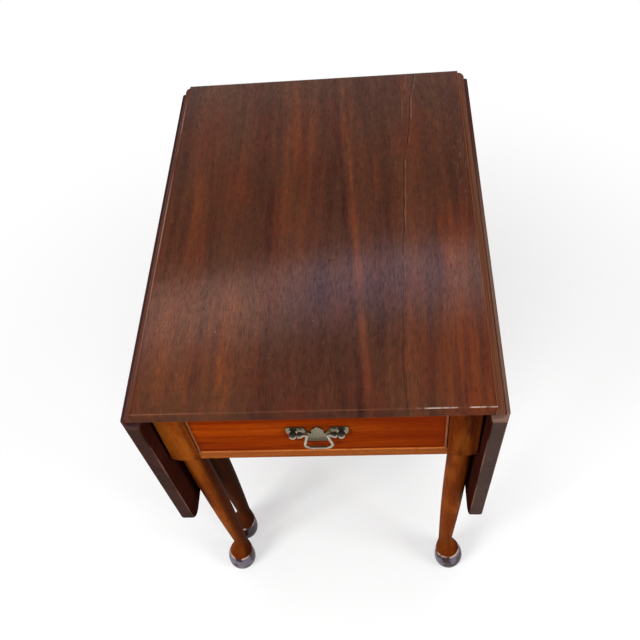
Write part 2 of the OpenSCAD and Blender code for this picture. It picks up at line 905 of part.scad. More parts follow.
// A bead of round nose and square back round the edge of the drawer front.
module drawer_cockbead() {
    low = drawer_z;
    high = drawer_top;
    color(DRAWER) {
        difference() {
            between([-half_w, face_y, low], [half_w, face_y + bead_depth, high]);
            between([-half_w + bead_t, face_y - over, low + bead_t],
                    [half_w - bead_t, face_y + bead_depth + over, high - bead_t]);
        }
        for (z = [low + bead_r, high - bead_r])
            translate([-half_w, face_y, z])
                rotate([0, 90, 0])
                    cylinder(h = 2 * half_w, r = nose_r);
        for (side = [-1, 1])
            translate([side * (half_w - bead_r), face_y, low])
                cylinder(h = high - low, r = nose_r);
    }
}

module drawer_side(side) {
    color(INNER)
        corner(side, 1)
            difference() {
                union() {
                    between([half_w - side_t, front_back_y, drawer_z],
                            [half_w, drawer_back_y - drawer_back_t, drawer_top]);
                    front_tails(0);
                    back_tails(0);
                }
                bottom_board(glue_gap);
            }
}

module drawer_back() {
    color(INNER)
        difference() {
            between([-half_w, drawer_back_y - drawer_back_t, back_z0 + glue_gap], [half_w, drawer_back_y, back_z1]);
            for (side = [-1, 1])
                corner(side, 1)
                    back_tails(glue_gap);
            at_bottom_pins()
                translate([0, 0, -over])
                    cylinder(h = bottom_pin_len + 2 * over, r = bottom_pin_r + fixed_fit);
        }
}

module at_bottom_pins() {
    for (x = [-half_w * 0.6, 0, half_w * 0.6])
        translate([x, drawer_back_y - drawer_back_t / 2, bottom_z])
            children();
}

module drawer_bottom() {
    color(INNER)
        difference() {
            bottom_board(0);
            at_bottom_pins()
                translate([0, 0, -over])
                    cylinder(h = bottom_t + 2 * over, r = bottom_pin_r + fixed_fit);
        }
}

// Round-headed pins that hold the drawer bottom up to the drawer back.
module drawer_bottom_pins() {
    color(STEEL)
        at_bottom_pins() {
            cylinder(h = bottom_pin_len, r = bottom_pin_r);
            translate([0, 0, -bottom_pin_head_t])
                cylinder(h = bottom_pin_head_t, r = bottom_pin_head_r);
        }
}

// Points along an arc about a centre, from one angle to another.
function arc(centre, r, from, to, steps = 6) =
    [for (i = [0 : steps]) let (a = from + (to - from) * i / steps) centre + r * [cos(a), sin(a)]];

// Right half of the batwing outline about the post height, from the peak down: the peak's slope, the notch, the
// slope of the wing, its square top, a round lobe under the post and the broad lower lobe.
function half_batwing() =
    let (half = plate_w / 2, post = post_span / 2, top = plate_h * 0.23, low = top - plate_h,
        notch = plate_h * 0.24, lobe_r = ball_r * 1.65, corner_r = plate_w * 0.045)
    concat(
        arc([0, top - corner_r / 2], corner_r * 0.6, 80, 45),
        [[notch, top - notch], [notch * 0.84, top - notch * 1.4], [notch, top - notch * 1.95],
            [half * 0.32, top - notch * 1.5]],
        arc([half * 0.5, top - corner_r], corner_r, 160, 90),
        arc([half - corner_r, top - corner_r], corner_r, 90, 0),
        arc([post, -lobe_r / 3], lobe_r, 0, -110),
        [[half * 0.52, -lobe_r * 1.6], [half * 0.44, -lobe_r * 2], [half * 0.4, low * 0.82]],
        arc([half * 0.28, low + corner_r], corner_r, 0, -90));

module batwing() {
    right = half_batwing();
    last = len(right) - 1;
    polygon(concat(right, [for (i = [0 : last]) [-right[last - i][0], right[last - i][1]]]));
}

module handle_backplate() {
    color(BRASS)
        difference() {
            translate([0, face_y, post_z])
                rotate([90, 0, 0])
                    linear_extrude(plate_t)
                        batwing();
            at_posts()
                translate([0, 0, -front_back_y])
                    cylinder(h = front_t + plate_t + over, r = post_r + screw_fit);
        }
}

// Post of the handle: a shank through the drawer front, a foot on the backplate, a neck and a ball.
module handle_posts() {
    shank_end = -front_back_y - nut_t - nut_grip;
    color(BRASS)
        difference() {
            at_posts() {
                translate([0, 0, shank_end])
                    cylinder(h = -ball_y - shank_end, r = post_r);
                translate([0, 0, -plate_y])
                    cylinder(h = post_foot_t, r = ball_r * 0.95);
                translate([0, 0, -plate_y + post_foot_t])
                    cylinder(h = ball_out - post_foot_t, r1 = ball_r * 0.7, r2 = ball_r * 0.55);
                translate([0, 0, -ball_y])
                    sphere(ball_r);
            }
            translate([-post_span / 2, ball_y, post_z])
                rotate([0, 90, 0])
                    cylinder(h = post_span, r = tip_r + running_fit);
        }
}

module handle_nuts() {
    color(STEEL)
        difference() {
            for (side = [-1, 1])
                between([side * post_span / 2 - nut_side / 2, front_back_y, post_z - nut_side / 2],
                        [side * post_span / 2 + nut_side / 2, front_back_y + nut_t, post_z + nut_side / 2]);
            at_posts()
                translate([0, 0, -front_back_y - 2 * nut_t])
                    cylinder(h = 3 * nut_t, r = post_r + fixed_fit);
        }
}

// A wire of n sides along a path of [x, z, radius] points. Each ring stands square to the line between its
// neighbours.
module wire(path, n) {
    last = len(path) - 1;
    polyhedron(
        points = [for (i = [0 : last])
            let (run = path[min(i + 1, last)] - path[max(i - 1, 0)], long = norm([run[0], run[1]]), p = path[i])
            for (k = [0 : n - 1])
                let (a = 360 * k / n, in = p[2] * cos(a) / long)
                    [p[0] + in * run[1], p[2] * sin(a), p[1] - in * run[0]]],
        faces = concat(
            [[for (k = [0 : n - 1]) k]],
            [for (i = [0 : last - 1]) for (k = [0 : n - 1]) let (m = (k + 1) % n)
                [i * n + k, (i + 1) * n + m, i * n + m]],
            [for (i = [0 : last - 1]) for (k = [0 : n - 1]) let (m = (k + 1) % n)
                [i * n + k, (i + 1) * n + k, (i + 1) * n + m]],
            [[for (k = [n - 1 : -1 : 0]) last * n + k]]));
}

// The bail: a tip in each ball, arms that swell to a barrel beside it, and a loop whose sides spread downwards.
module bail() {
    bends = upper_bend + lower_bend;
    side_len = (bail_drop - bends * (1 + sin(bail_flare))) / cos(bail_flare);
    corner_x = bail_w / 2 - lower_bend;
    arm_x = corner_x + bends * cos(bail_flare) - side_len * sin(bail_flare);
    ball_edge = post_span / 2 - ball_r - bail_end_gap;
    steps = 6;
    half = concat(
        [for (i = [0 : steps - 1]) let (t = i / steps)
            [ball_edge + (arm_x - ball_edge) * t, 0,
                wire_r + (bail_end_r - wire_r) * pow(sin(barrel_arc * (1 - t)), barrel_bend)]],
        [for (p = concat(arc([arm_x, -upper_bend], upper_bend, 90, 180 + bail_flare),
            arc([corner_x, -bail_drop + lower_bend], lower_bend, bail_flare, -90, 8))) [p[0], p[1], wire_r]]);
    last = len(half) - 1;
    color(BRASS)
        translate([0, ball_y, post_z]) {
            wire(concat(half, [for (i = [0 : last]) let (p = half[last - i]) [-p[0], p[1], p[2]]]), 16);
            for (side = [0, 1])
                mirror([side, 0, 0])
                    translate([ball_edge - over, 0, 0])
                        rotate([0, 90, 0])
                            cylinder(h = ball_r + over, r = tip_r, $fn = 32);
        }
}

top_board();
front_leg(-1);  // front_left_leg
front_leg(1);  // front_right_leg
back_leg(-1);  // back_left_leg
back_leg(1);  // back_right_leg
side_rail(-1);  // left_side_rail
side_rail(1);  // right_side_rail
back_rail();
top_rail();
drawer_rail();
runner(-1);  // left_runner
runner(1);  // right_runner
kicker(-1);  // left_kicker
kicker(1);  // right_kicker
drawer_stops();
glue_blocks();
fly_rail(-1);  // left_fly_rail
fly_rail(1);  // right_fly_rail
gate_pin(-1);  // left_gate_pin
gate_pin(1);  // right_gate_pin
top_screws();
fly_screws();
hinge_top_plates(-1);  // left_hinge_top_plates
hinge_top_plates(1);  // right_hinge_top_plates
hinge_pins(-1);  // left_hinge_pins
hinge_pins(1);  // right_hinge_pins
hinge_top_screws();
leaf(-1);  // left_leaf
leaf(1);  // right_leaf
hinge_leaf_plates(-1);  // left_hinge_leaf_plates
hinge_leaf_plates(1);  // right_hinge_leaf_plates
leaf_screws(-1);  // left_leaf_screws
leaf_screws(1);  // right_leaf_screws
gate_rail(-1);  // left_gate_rail
gate_rail(1);  // right_gate_rail
gate_leg(-1);  // left_gate_leg
gate_leg(1);  // right_gate_leg
drawer_front();
drawer_side(-1);  // drawer_left_side
drawer_side(1);  // drawer_right_side
drawer_back();
drawer_bottom();
drawer_bottom_pins();
drawer_cockbead();
handle_backplate();
handle_posts();
handle_nuts();
bail();
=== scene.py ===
# %% [markdown]
# # A drop-leaf coffee table in polished mahogany
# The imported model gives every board, hinge and screw at its real size. This lesson dresses it: it sets the
# camera, the floor and the lamps, finishes each wood and metal with its own nodes, and models again the
# only pieces whose form is softer than the solids can show, the six turned legs.

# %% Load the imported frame
import json

import bpy
import numpy as np
from mathutils import Matrix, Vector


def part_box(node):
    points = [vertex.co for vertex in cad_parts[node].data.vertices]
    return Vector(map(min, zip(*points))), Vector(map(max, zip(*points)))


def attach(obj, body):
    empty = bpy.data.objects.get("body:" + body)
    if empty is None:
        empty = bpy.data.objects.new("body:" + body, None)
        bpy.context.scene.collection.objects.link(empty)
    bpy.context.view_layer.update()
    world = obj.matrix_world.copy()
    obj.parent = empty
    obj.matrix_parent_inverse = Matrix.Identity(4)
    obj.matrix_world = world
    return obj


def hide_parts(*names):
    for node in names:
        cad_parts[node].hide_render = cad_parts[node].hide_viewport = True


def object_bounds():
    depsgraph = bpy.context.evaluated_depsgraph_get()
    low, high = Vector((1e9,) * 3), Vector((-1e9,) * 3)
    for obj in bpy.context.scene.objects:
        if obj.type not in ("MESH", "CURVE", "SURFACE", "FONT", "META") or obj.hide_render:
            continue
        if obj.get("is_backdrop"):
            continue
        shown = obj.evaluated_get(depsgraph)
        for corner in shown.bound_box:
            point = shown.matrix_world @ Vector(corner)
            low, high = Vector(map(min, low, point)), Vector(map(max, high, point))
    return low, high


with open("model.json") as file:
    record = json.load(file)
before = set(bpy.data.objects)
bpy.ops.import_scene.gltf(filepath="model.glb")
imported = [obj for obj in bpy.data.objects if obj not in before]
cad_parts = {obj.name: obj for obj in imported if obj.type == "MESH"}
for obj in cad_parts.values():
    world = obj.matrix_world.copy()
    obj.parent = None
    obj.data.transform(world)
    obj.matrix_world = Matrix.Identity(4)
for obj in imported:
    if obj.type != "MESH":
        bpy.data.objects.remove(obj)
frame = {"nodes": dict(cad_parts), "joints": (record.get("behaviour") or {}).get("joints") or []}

MM = 0.001
NODES = frame["nodes"]
cad_low, cad_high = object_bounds()
print("nodes", len(NODES), "size in mm", [round(v / MM) for v in cad_high - cad_low])

# %% [markdown]
# The camera looks down on the table from the drawer end, a little to the right of its middle, and is rolled
# slightly. Its place was worked out from the corners of the top, the leaves and the feet, so it is written
# as a point, three angles and a focal length in pixels of a square picture.

# %% Set the camera
PICTURE = 640
SENSOR = 36.0
FOCAL = 792.7
EYE = np.array([95.2, -746.4, 1404.9]) * MM
YAW, PITCH, ROLL = -0.1496, 0.9402, 0.1541
NEAREST, FARTHEST = 0.05, 60.0


def camera_axes(yaw, pitch, roll):
    """Right, up and backward unit vectors of a camera that looks along +Y when yaw and pitch are 0. Yaw
    turns it towards +X, pitch lowers its gaze, and roll turns it about that gaze."""
    gaze = np.array([np.sin(yaw) * np.cos(pitch), np.cos(yaw) * np.cos(pitch), -np.sin(pitch)])
    level = np.array([np.cos(yaw), -np.sin(yaw), 0.0])
    down = np.cross(gaze, level)
    right = np.cos(roll) * level + np.sin(roll) * down
    return right, -np.cross(gaze, right), -gaze


def standing(right, up, back, place):
    """The matrix of a thing at a place whose x, y and z axes are the three unit vectors."""
    rows = [[right[i], up[i], back[i], place[i]] for i in range(3)]
    return Matrix([*rows, [0, 0, 0, 1]])


def make_camera():
    """A camera at the eye point. Its lens is the focal length in pixels, turned into mm of the sensor."""
    data = bpy.data.cameras.new("camera")
    data.sensor_width = SENSOR
    data.lens = FOCAL * SENSOR / PICTURE
    data.clip_start, data.clip_end = NEAREST, FARTHEST
    camera = bpy.data.objects.new("camera", data)
    bpy.context.scene.collection.objects.link(camera)
    camera.matrix_world = standing(*camera_axes(YAW, PITCH, ROLL), EYE)
    bpy.context.scene.camera = camera
    return camera


camera = make_camera()
bpy.context.scene.view_settings.view_transform = "Standard"
print("lens", round(camera.data.lens, 2), "mm")

# %% [markdown]
# A material is a small program made of nodes. Writing each sum as a node by hand is slow to read, so a
# socket is wrapped in a class that knows +, -, * and the like, and a second class holds one material's tree
# and adds any other node. After that a finish reads as a few lines of arithmetic.

# %% Wrap sockets so that shader maths reads as Python


class Flow:
    """A socket whose value can be added, multiplied and compared in Python. Each operation adds a Math
    node."""

    def __init__(self, paint, socket):
        self.paint, self.socket = paint, socket

    def math(self, operation, *others, clamp=False):
        settings = {"operation": operation, "use_clamp": clamp}
        return self.paint.node("ShaderNodeMath", settings, {i: v for i, v in enumerate([self, *others])})

    def __add__(self, other):
        return self.math("ADD", other)

    __radd__ = __add__

    def __mul__(self, other):
        return self.math("MULTIPLY", other)

    __rmul__ = __mul__

    def __sub__(self, other):
        return self.math("SUBTRACT", other)

    def __rsub__(self, other):
        return self.paint.node("ShaderNodeMath", {"operation": "SUBTRACT"}, {0: other, 1: self})

    def __truediv__(self, other):
        return self.math("DIVIDE", other)

    def __pow__(self, other):
        return self.math("POWER", other)

    def __abs__(self):
        return self.math("ABSOLUTE")

    def low(self, other):
        return self.math("MINIMUM", other)

    def high(self, other):
        return self.math("MAXIMUM", other)

    def rise(self, start, end):
        """0 before start, 1 after end and smooth between them. Start may be the larger one."""
        settings = {"interpolation_type": "SMOOTHSTEP", "clamp": True}
        if start > end:
            return 1 - self.rise(end, start)
        return self.paint.node("ShaderNodeMapRange", settings, {0: self, 1: start, 2: end, 3: 0.0, 4: 1.0})


def rgb(text):
    """A colour written as #rrggbb, turned into the linear values that shaders use."""
    value = np.array([int(text[i:i + 2], 16) for i in (1, 3, 5)]) / 255
    linear = np.where(value <= 0.04045, value / 12.92, ((value + 0.055) / 1.055) ** 2.4)
    return (*linear.tolist(), 1.0)


class Paint:
    """One material. node() adds any node: its settings first, then the values or links of its sockets."""

    def __init__(self, name, owner=None):
        self.material = owner or bpy.data.materials.new(name)
        self.material.use_nodes = True
        self.tree = self.material.node_tree
        self.tree.nodes.clear()

    def node(self, kind, settings=None, sockets=None, output=0):
        made = self.tree.nodes.new(kind)
        for key, value in (settings or {}).items():
            if key == "stops":
                self.set_stops(made.color_ramp, value)
            else:
                setattr(made, key, value)
        for key, value in (sockets or {}).items():
            if isinstance(value, Flow):
                self.tree.links.new(value.socket, made.inputs[key])
            else:
                made.inputs[key].default_value = value
        return Flow(self, made.outputs[output])

    def set_stops(self, ramp, stops):
        while len(ramp.elements) < len(stops):
            ramp.elements.new(0.5)
        for element, (place, colour) in zip(ramp.elements, stops):
            element.position, element.color = place, rgb(colour)

    def place(self):
        """x, y and z of the shaded point, in metres, as the piece lies at rest."""
        point = self.node("ShaderNodeTexCoord", output=3)
        return [self.node("ShaderNodeSeparateXYZ", {}, {0: point}, i) for i in range(3)]

    def vector(self, x, y, z):
        return self.node("ShaderNodeCombineXYZ", {}, {0: x, 1: y, 2: z})

    def noise(self, x, y, z, detail=2.0, roughness=0.5, warp=0.0):
        """Cloudy noise from 0 to 1, about one cloud for each unit of x, y and z."""
        sockets = {"Vector": self.vector(x, y, z), "Scale": 1.0, "Detail": detail, "Roughness": roughness,
                   "Distortion": warp}
        return self.node("ShaderNodeTexNoise", {}, sockets)

    def ramp(self, factor, stops):
        return self.node("ShaderNodeValToRGB", {"stops": stops}, {0: factor})

    def mix(self, factor, first, second, blend="MIX"):
        """A colour between two colours. Each may be a text such as #804020 or a flow."""
        first, second = (rgb(c) if isinstance(c, str) else c for c in (first, second))
        settings = {"data_type": "RGBA", "blend_type": blend, "clamp_factor": True}
        return self.node("ShaderNodeMix", settings, {0: factor, 6: first, 7: second}, 2)

    def bump(self, height, distance, strength=1.0):
        return self.node("ShaderNodeBump", {}, {"Height": height, "Distance": distance, "Strength": strength})

    def finish(self, varied, fixed=None):
        """The shader: varied holds flows or values by socket name, fixed holds values that are the same all
        over."""
        return self.show(self.node("ShaderNodeBsdfPrincipled", {}, {**varied, **(fixed or {})}))

    def show(self, shader, output="ShaderNodeOutputMaterial"):
        out = self.tree.nodes.new(output)
        self.tree.links.new(shader.socket, out.inputs["Surface"])
        return self.material


print("a colour in linear values", [round(v, 3) for v in rgb("#804020")])

# %% [markdown]
# The floor is one pale sheet, far larger than the table. Its near part is real, so that it catches the soft
# shadow of the legs. Farther out, and in the world above it, the camera sees plain white. The world itself
# is a white wall up to a certain height, a dark band over it, and then the lit edge of a ceiling that grows
# dim overhead. The polish of the top mirrors that edge, and this gives the grey sheen across its middle:
# warm at the left, and violet where a piece of evening sky comes in.

# %% Lay the floor and light the studio
FLOOR_HALF = 9.0
FLOOR_GREY = 0.55
FLOOR_NEAR, FLOOR_FAR = 0.45, 1.1
WHITE = (1.0, 1.0, 1.0, 1.0)
# Brightness of the wall, the haze low in the band, the band, the ceiling's edge and the ceiling overhead.
WALL, HAZE, BAND, CEILING, ZENITH = 0.25, 0.32, 0.03, 2.25, 0.06
WALL_TOP, HAZE_TOP = 0.60, 0.70
CEILING_RISE, CEILING_SKEW, CEILING_BLUR = 1.16, 0.2, 0.012
DIM_START, DIM_END = 0.02, 0.17
WARM, COOL, VIOLET = (1.0, 0.65, 0.58, 1.0), (0.62, 0.58, 0.75, 1.0), (0.38, 0.40, 0.85, 1.0)
COOL_LEFT, COOL_RIGHT = (-0.16, -0.08), (0.12, 0.05)
VIOLET_START, VIOLET_END = 0.03, 0.07


def seen_directly(paint):
    """1 for a ray from the camera, or one that metal or glass sends on, and 0 for the rays that light
    things."""
    path = [paint.node("ShaderNodeLightPath", {}, {}, name) for name in
            ("Is Camera Ray", "Is Glossy Ray", "Is Transmission Ray")]
    return path[0].high(path[1]).high(path[2])


def make_floor():
    """A square sheet. Near the table it is matt grey, lifted to white for the rays that see it. Far out it
    glows."""
    mesh = bpy.data.meshes.new("floor")
    h = FLOOR_HALF
    mesh.from_pydata([(-h, -h, 0), (h, -h, 0), (h, h, 0), (-h, h, 0)], [], [(0, 1, 2, 3)])
    floor = bpy.data.objects.new("floor", mesh)
    bpy.context.scene.collection.objects.link(floor)
    paint = Paint("pale floor")
    x, y, _ = paint.place()
    far = ((x * x + y * y) ** 0.5).rise(FLOOR_NEAR, FLOOR_FAR)
    seen = seen_directly(paint)
    cloth = paint.node("ShaderNodeBsdfDiffuse", {}, {"Color": (FLOOR_GREY, FLOOR_GREY, FLOOR_GREY, 1)})
    glow = paint.node("ShaderNodeEmission", {}, {"Color": WHITE, "Strength": 1.0})
    lift = paint.node("ShaderNodeEmission", {}, {"Color": WHITE, "Strength": seen * (1 - FLOOR_GREY)})
    near = paint.node("ShaderNodeAddShader", {}, {0: cloth, 1: lift})
    paint.show(paint.node("ShaderNodeMixShader", {}, {0: far * seen, 1: near, 2: glow}))
    mesh.materials.append(paint.material)
    floor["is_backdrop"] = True


def light_world():
    """Brightness and colour by direction. The ceiling's edge is a plane through the table: z = rise * y,
    skewed to the left of it."""
    world = bpy.data.worlds.new("studio")
    bpy.context.scene.world = world
    paint = Paint("studio", world)
    direction = paint.node("ShaderNodeTexCoord")
    x, y, z = (paint.node("ShaderNodeSeparateXYZ", {}, {0: direction}, i) for i in range(3))
    wall = z.rise(WALL_TOP + 0.02, WALL_TOP - 0.05)
    past_edge = z - y * CEILING_RISE + x.low(0.0) * CEILING_SKEW
    ceiling = past_edge.rise(-CEILING_BLUR, CEILING_BLUR)
    overhead = past_edge.rise(DIM_START, DIM_END)
    upper = ceiling * (CEILING - BAND) + ceiling * overhead * (ZENITH - CEILING) + BAND
    upper = upper + z.rise(HAZE_TOP, WALL_TOP) * HAZE
    level = upper + wall * (WALL - upper)
    camera_ray = paint.node("ShaderNodeLightPath")
    strength = level + (seen_directly(paint) * wall).high(camera_ray) * (1 - level)
    centre = x.rise(*COOL_LEFT) * x.rise(*COOL_RIGHT)
    evening = centre * past_edge.rise(VIOLET_START, VIOLET_END)
    tint = paint.mix(evening, paint.mix(centre, WARM, COOL), VIOLET)
    colour = paint.mix(ceiling * (1 - overhead) * (1 - wall) * (1 - camera_ray), WHITE, tint)
    paint.show(paint.node("ShaderNodeBackground", {}, {"Color": colour, "Strength": strength}),
               "ShaderNodeOutputWorld")


def softbox(name, place, target, width, height, watts):
    """A rectangular lamp at a place in metres that faces a target. The polish mirrors the room, not the
    lamp."""
    data = bpy.data.lights.new(name, "AREA")
    data.shape, data.size, data.size_y, data.energy = "RECTANGLE", width, height, watts
    lamp = bpy.data.objects.new(name, data)
    lamp.visible_glossy = False
    bpy.context.scene.collection.objects.link(lamp)
    back = np.array(place, float) - np.array(target, float)
    back /= np.linalg.norm(back)
    right = np.cross([0, 0, 1], back)
    right /= np.linalg.norm(right)
    lamp.matrix_world = standing(right, np.cross(back, right), back, place)


make_floor()
light_world()
# Place, width, height and watts of each lamp.
LAMPS = {"key": ((-2.4, -2.3, 2.3), 1.5, 1.5, 100), "fill": ((2.8, -1.4, 2.0), 1.4, 1.8, 60),
         "overhead": ((0, -0.3, 4.4), 3.6, 3.6, 84)}
MIDDLE = (0, 0, 0.4)
for name, (place, width, height, watts) in LAMPS.items():
    softbox(name, place, MIDDLE, width, height, watts)
print("lamps", {name: lamp[-1] for name, lamp in LAMPS.items()}, "watts")

# %% [markdown]
# Mahogany is a red-brown wood whose grain shows at three scales: broad dark and light bands, narrow
# streaks, and short open pores that hold dark wax. All three are noise that is stretched along the grain.
# The finish is thin and old, so its gloss wanders a little and the arrises are rubbed pale.

# %% Stain and polish the wood


def grain(paint, along, across, depth, broad=18.0, narrow=110.0, wander=0.012):
    """Band, streak and pore patterns for a board whose grain runs with the first flow. Each is noise on
    coordinates that are long along the grain, after a slow sideways drift of the other two."""
    drift = (paint.noise(along * 1.7, across * 4, depth * 4, 1.0) - 0.5) * (2 * wander)
    a, d = across + drift, depth + drift
    bands = paint.noise(along * 1.1, a * broad, d * broad, 2.0, 0.5, 0.3)
    streaks = paint.noise(along * 5.0, a * narrow, d * narrow, 3.0, 0.6)
    fibres = paint.noise(along * 70.0, a * 620, d * 620, 2.0, 0.6)
    pores = paint.noise(along * 110.0, a * 1100, d * 1100, 1.0, 0.5).rise(0.58, 0.70)
    return bands, streaks, fibres, pores


def wood(paint, place, axes, tones, pore="#1c0d08", rough=0.34, contrast=1.0, broad=18.0, narrow=110.0):
    """Colour, roughness, height and smudge of a finished wood. Axes are those along, across and through the
    grain. Tones are the ramp's colours from the darkest streak to the lightest."""
    bands, streaks, fibres, pores = grain(paint, *(place[i] for i in axes), broad, narrow)
    tone = (bands - 0.5) * (0.9 * contrast) + (streaks - 0.5) * (0.55 * contrast) + (fibres - 0.5) * 0.3 + 0.5
    stops = [(0.2 + 0.6 * i / (len(tones) - 1), tones[i]) for i in range(len(tones))]
    colour = paint.mix(pores * 0.5, paint.ramp(tone, stops), pore)
    smudge = paint.noise(place[0] * 14, place[1] * 14, place[2] * 14, 2.0)
    roughness = (smudge - 0.5) * 0.16 + (fibres - 0.5) * 0.08 + pores * 0.12 + rough
    height = fibres * 0.35 - pores * 0.8 + streaks * 0.3
    return colour, roughness, height, smudge


def polish(paint, colour, roughness, height, fixed, **varied):
    """The shader of a wood, from what wood() gives and any other varied sockets."""
    normal = paint.bump(height, 0.25 * MM, 0.5)
    return paint.finish({"Base Color": colour, "Roughness": roughness, "Normal": normal, **varied}, fixed)


def mahogany(name, axes, tones, ior, **how):
    """A plain finish: the wood above with nothing done to single places."""
    paint = Paint(name)
    colour, roughness, height, _ = wood(paint, paint.place(), axes, tones, **how)
    return polish(paint, colour, roughness, height, {"IOR": ior})


X, Y, Z = 0, 1, 2
RAIL_TONES = ["#662a0a", "#863e12", "#9c501c", "#b0632a"]
BEAD_TONES = ["#8a3c10", "#ab5a20", "#c47435", "#d48c4e"]
TOP_TONES = ["#2b1611", "#41241a", "#512e20", "#643823", "#84461f"]
CARCASE_TONES = ["#28130c", "#3e2014", "#502b1a", "#603a26"]
INNER_TONES = ["#6d4829", "#8a5e38", "#a07348", "#b38757"]

rail_wood = mahogany("front rails", (X, Z, Y), RAIL_TONES, 1.06, rough=0.42)
side_wood = mahogany("side rails and gates", (Y, Z, X), CARCASE_TONES, 1.08, rough=0.45)
back_wood = mahogany("back rail", (X, Z, Y), CARCASE_TONES, 1.08, rough=0.45)
inner_long = mahogany("dry wood inside, front to back", (Y, Z, X), INNER_TONES, 1.1, rough=0.7)
inner_wide = mahogany("dry wood inside, side to side", (X, Y, Z), INNER_TONES, 1.1, rough=0.7)
print("plain wood finishes", len(bpy.data.materials) - 1)

# %% [markdown]
# The drawer front is the reddest piece. Its grain runs across. Towards the right it is painted darker and
# redder, as painted shade on the side away from the key lamp at the left. The polish has gone darker round
# the edge, where a cloth doesn't reach, and it is darker in a halo round the handle's plate. Just under the
# plate a short dark bar is painted shadow. The bead round it is paler, and painted darker up its sides as
# painted shade. Each of these places is a distance in x and z from the box of a piece, so it stays right if
# the piece changes size.

# %% Finish the drawer front
DRAWER_TONES = ["#5f1a02", "#842c02", "#9c3c03", "#bd5a10"]


def bead_finish():
    """The bead is bright along the top and the bottom, and painted darker up the two sides as painted shade.
    """
    paint = Paint("bead round the drawer")
    place = x, _, _ = paint.place()
    colour, roughness, height, _ = wood(paint, place, (X, Z, Y), BEAD_TONES, rough=0.32)
    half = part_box("drawer_cockbead")[1].x
    # Painted shade: the bead is painted darker up its two sides.
    sides = abs(x).rise(half - 4.5 * MM, half - 3 * MM)
    colour = paint.mix(sides * 0.6, colour, "#4a1e0a")
    return polish(paint, colour, roughness, height, {"IOR": 1.15})


def drawer_finish():
    """Grime follows the edge and a darker halo the plate's outline, and a short dark bar under the plate is
    painted shadow."""
    paint = Paint("orange drawer front")
    place = x, _, z = paint.place()
    colour, roughness, height, smudge = wood(paint, place, (X, Z, Y), DRAWER_TONES, pore="#5a2004",
                                             rough=0.40, contrast=1.3, broad=14, narrow=130)
    low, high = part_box("drawer_front")
    edge = (x - low.x).low(high.x - x).low((z - low.z).low(high.z - z))
    grime = (edge + (smudge - 0.5) * (8 * MM)).rise(12 * MM, 2 * MM)
    colour = paint.mix(grime * 0.4, colour, "#4a1a06")
    plate_low, plate_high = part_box("handle_backplate")
    halo_x = x / (plate_high.x + 8 * MM)
    halo_z = (z - (plate_low.z + plate_high.z) / 2) / (plate_high.z - plate_low.z) * 1.5
    halo = (halo_x * halo_x + halo_z * halo_z + (smudge - 0.5) * 0.5).rise(1.1, 0.7)
    # Painted shadow: a short dark bar on the wood just under the plate. The halo is only a darker ring round
    # the plate's outline.
    below = abs(z - plate_low.z + 2 * MM).rise(5.5 * MM, 2.5 * MM)
    under = abs(x).rise(20 * MM, 15 * MM) * below
    colour = paint.mix((halo * 0.35).high(under * 0.7), colour, "#3a1204")
    # Painted shade: the front is painted darker and redder towards the right, away from the key lamp at the
    # left.
    shaded_right = x.rise(-100 * MM, 140 * MM)
    colour = paint.mix(shaded_right * 0.6, colour, "#6a1e04")
    return polish(paint, colour, roughness, height, {"IOR": 1.03})


bead_wood = bead_finish()
drawer_wood = drawer_finish()
print("nodes", {m.name: len(m.node_tree.nodes) for m in (drawer_wood, bead_wood)})

# %% [markdown]
# The leaves' broad outer faces match the top. Their edges are painted darker and almost violet on the left
# leaf, as painted shade, and paler and greyer on the right leaf, as painted light, and their inner faces are
# painted a darker red, as painted shade under the table. They hang at a slight lean, so their arrises don't
# run with x, y and z. The finish first turns the place back to the way the leaf lies when it is raised: along
# its width from the hinge line, along y and up through its thickness. There it is a plain board with two
# round corners again, and the arrises can be found and rubbed pale.

# %% Finish the leaves
LEAF_TONES = ["#1a0c08", "#2c1711", "#3e221a", "#523225"]
RUBBED = "#94705c"
# Left and right differ as painted light and shade: the right leaf's lip and end grain are painted paler and
# greyer, the left ones darker and more violet.
LIP_LIGHT_AND_SHADE = {"left": ("#4b3030", "#432a2e"), "right": ("#8f6d5c", "#5c3833")}
END_GRAIN_LIGHT_AND_SHADE = {"left": "#3c241b", "right": "#5a4a46"}
LEAF_WIDTH, LEAF_CORNER = 316 * MM, 24 * MM
BOARD, HINGE_RISE = 19 * MM, 3 * MM
OUTER_FACE, INNER_FACE = BOARD - HINGE_RISE, -HINGE_RISE
HANG = {"left": 1, "right": 2}
JOINTS = {joint["name"]: joint for joint in frame["joints"]}


def leaf_arris(width, y, thick, half):
    """Distance from the nearest arris of a leaf. On its surface either the distance to the outline, a
    rectangle with round corners, or the distance to the two broad faces is 0, so the larger one is
    meant."""
    over_y, over_w = abs(y) - (half - LEAF_CORNER), width - (LEAF_WIDTH - LEAF_CORNER)
    past = (over_y.high(0.0) ** 2.0 + over_w.high(0.0) ** 2.0) ** 0.5
    outline = LEAF_CORNER - past - over_y.high(over_w).low(0.0)
    faces = (thick - INNER_FACE).low(OUTER_FACE - thick)
    return outline.high(faces)


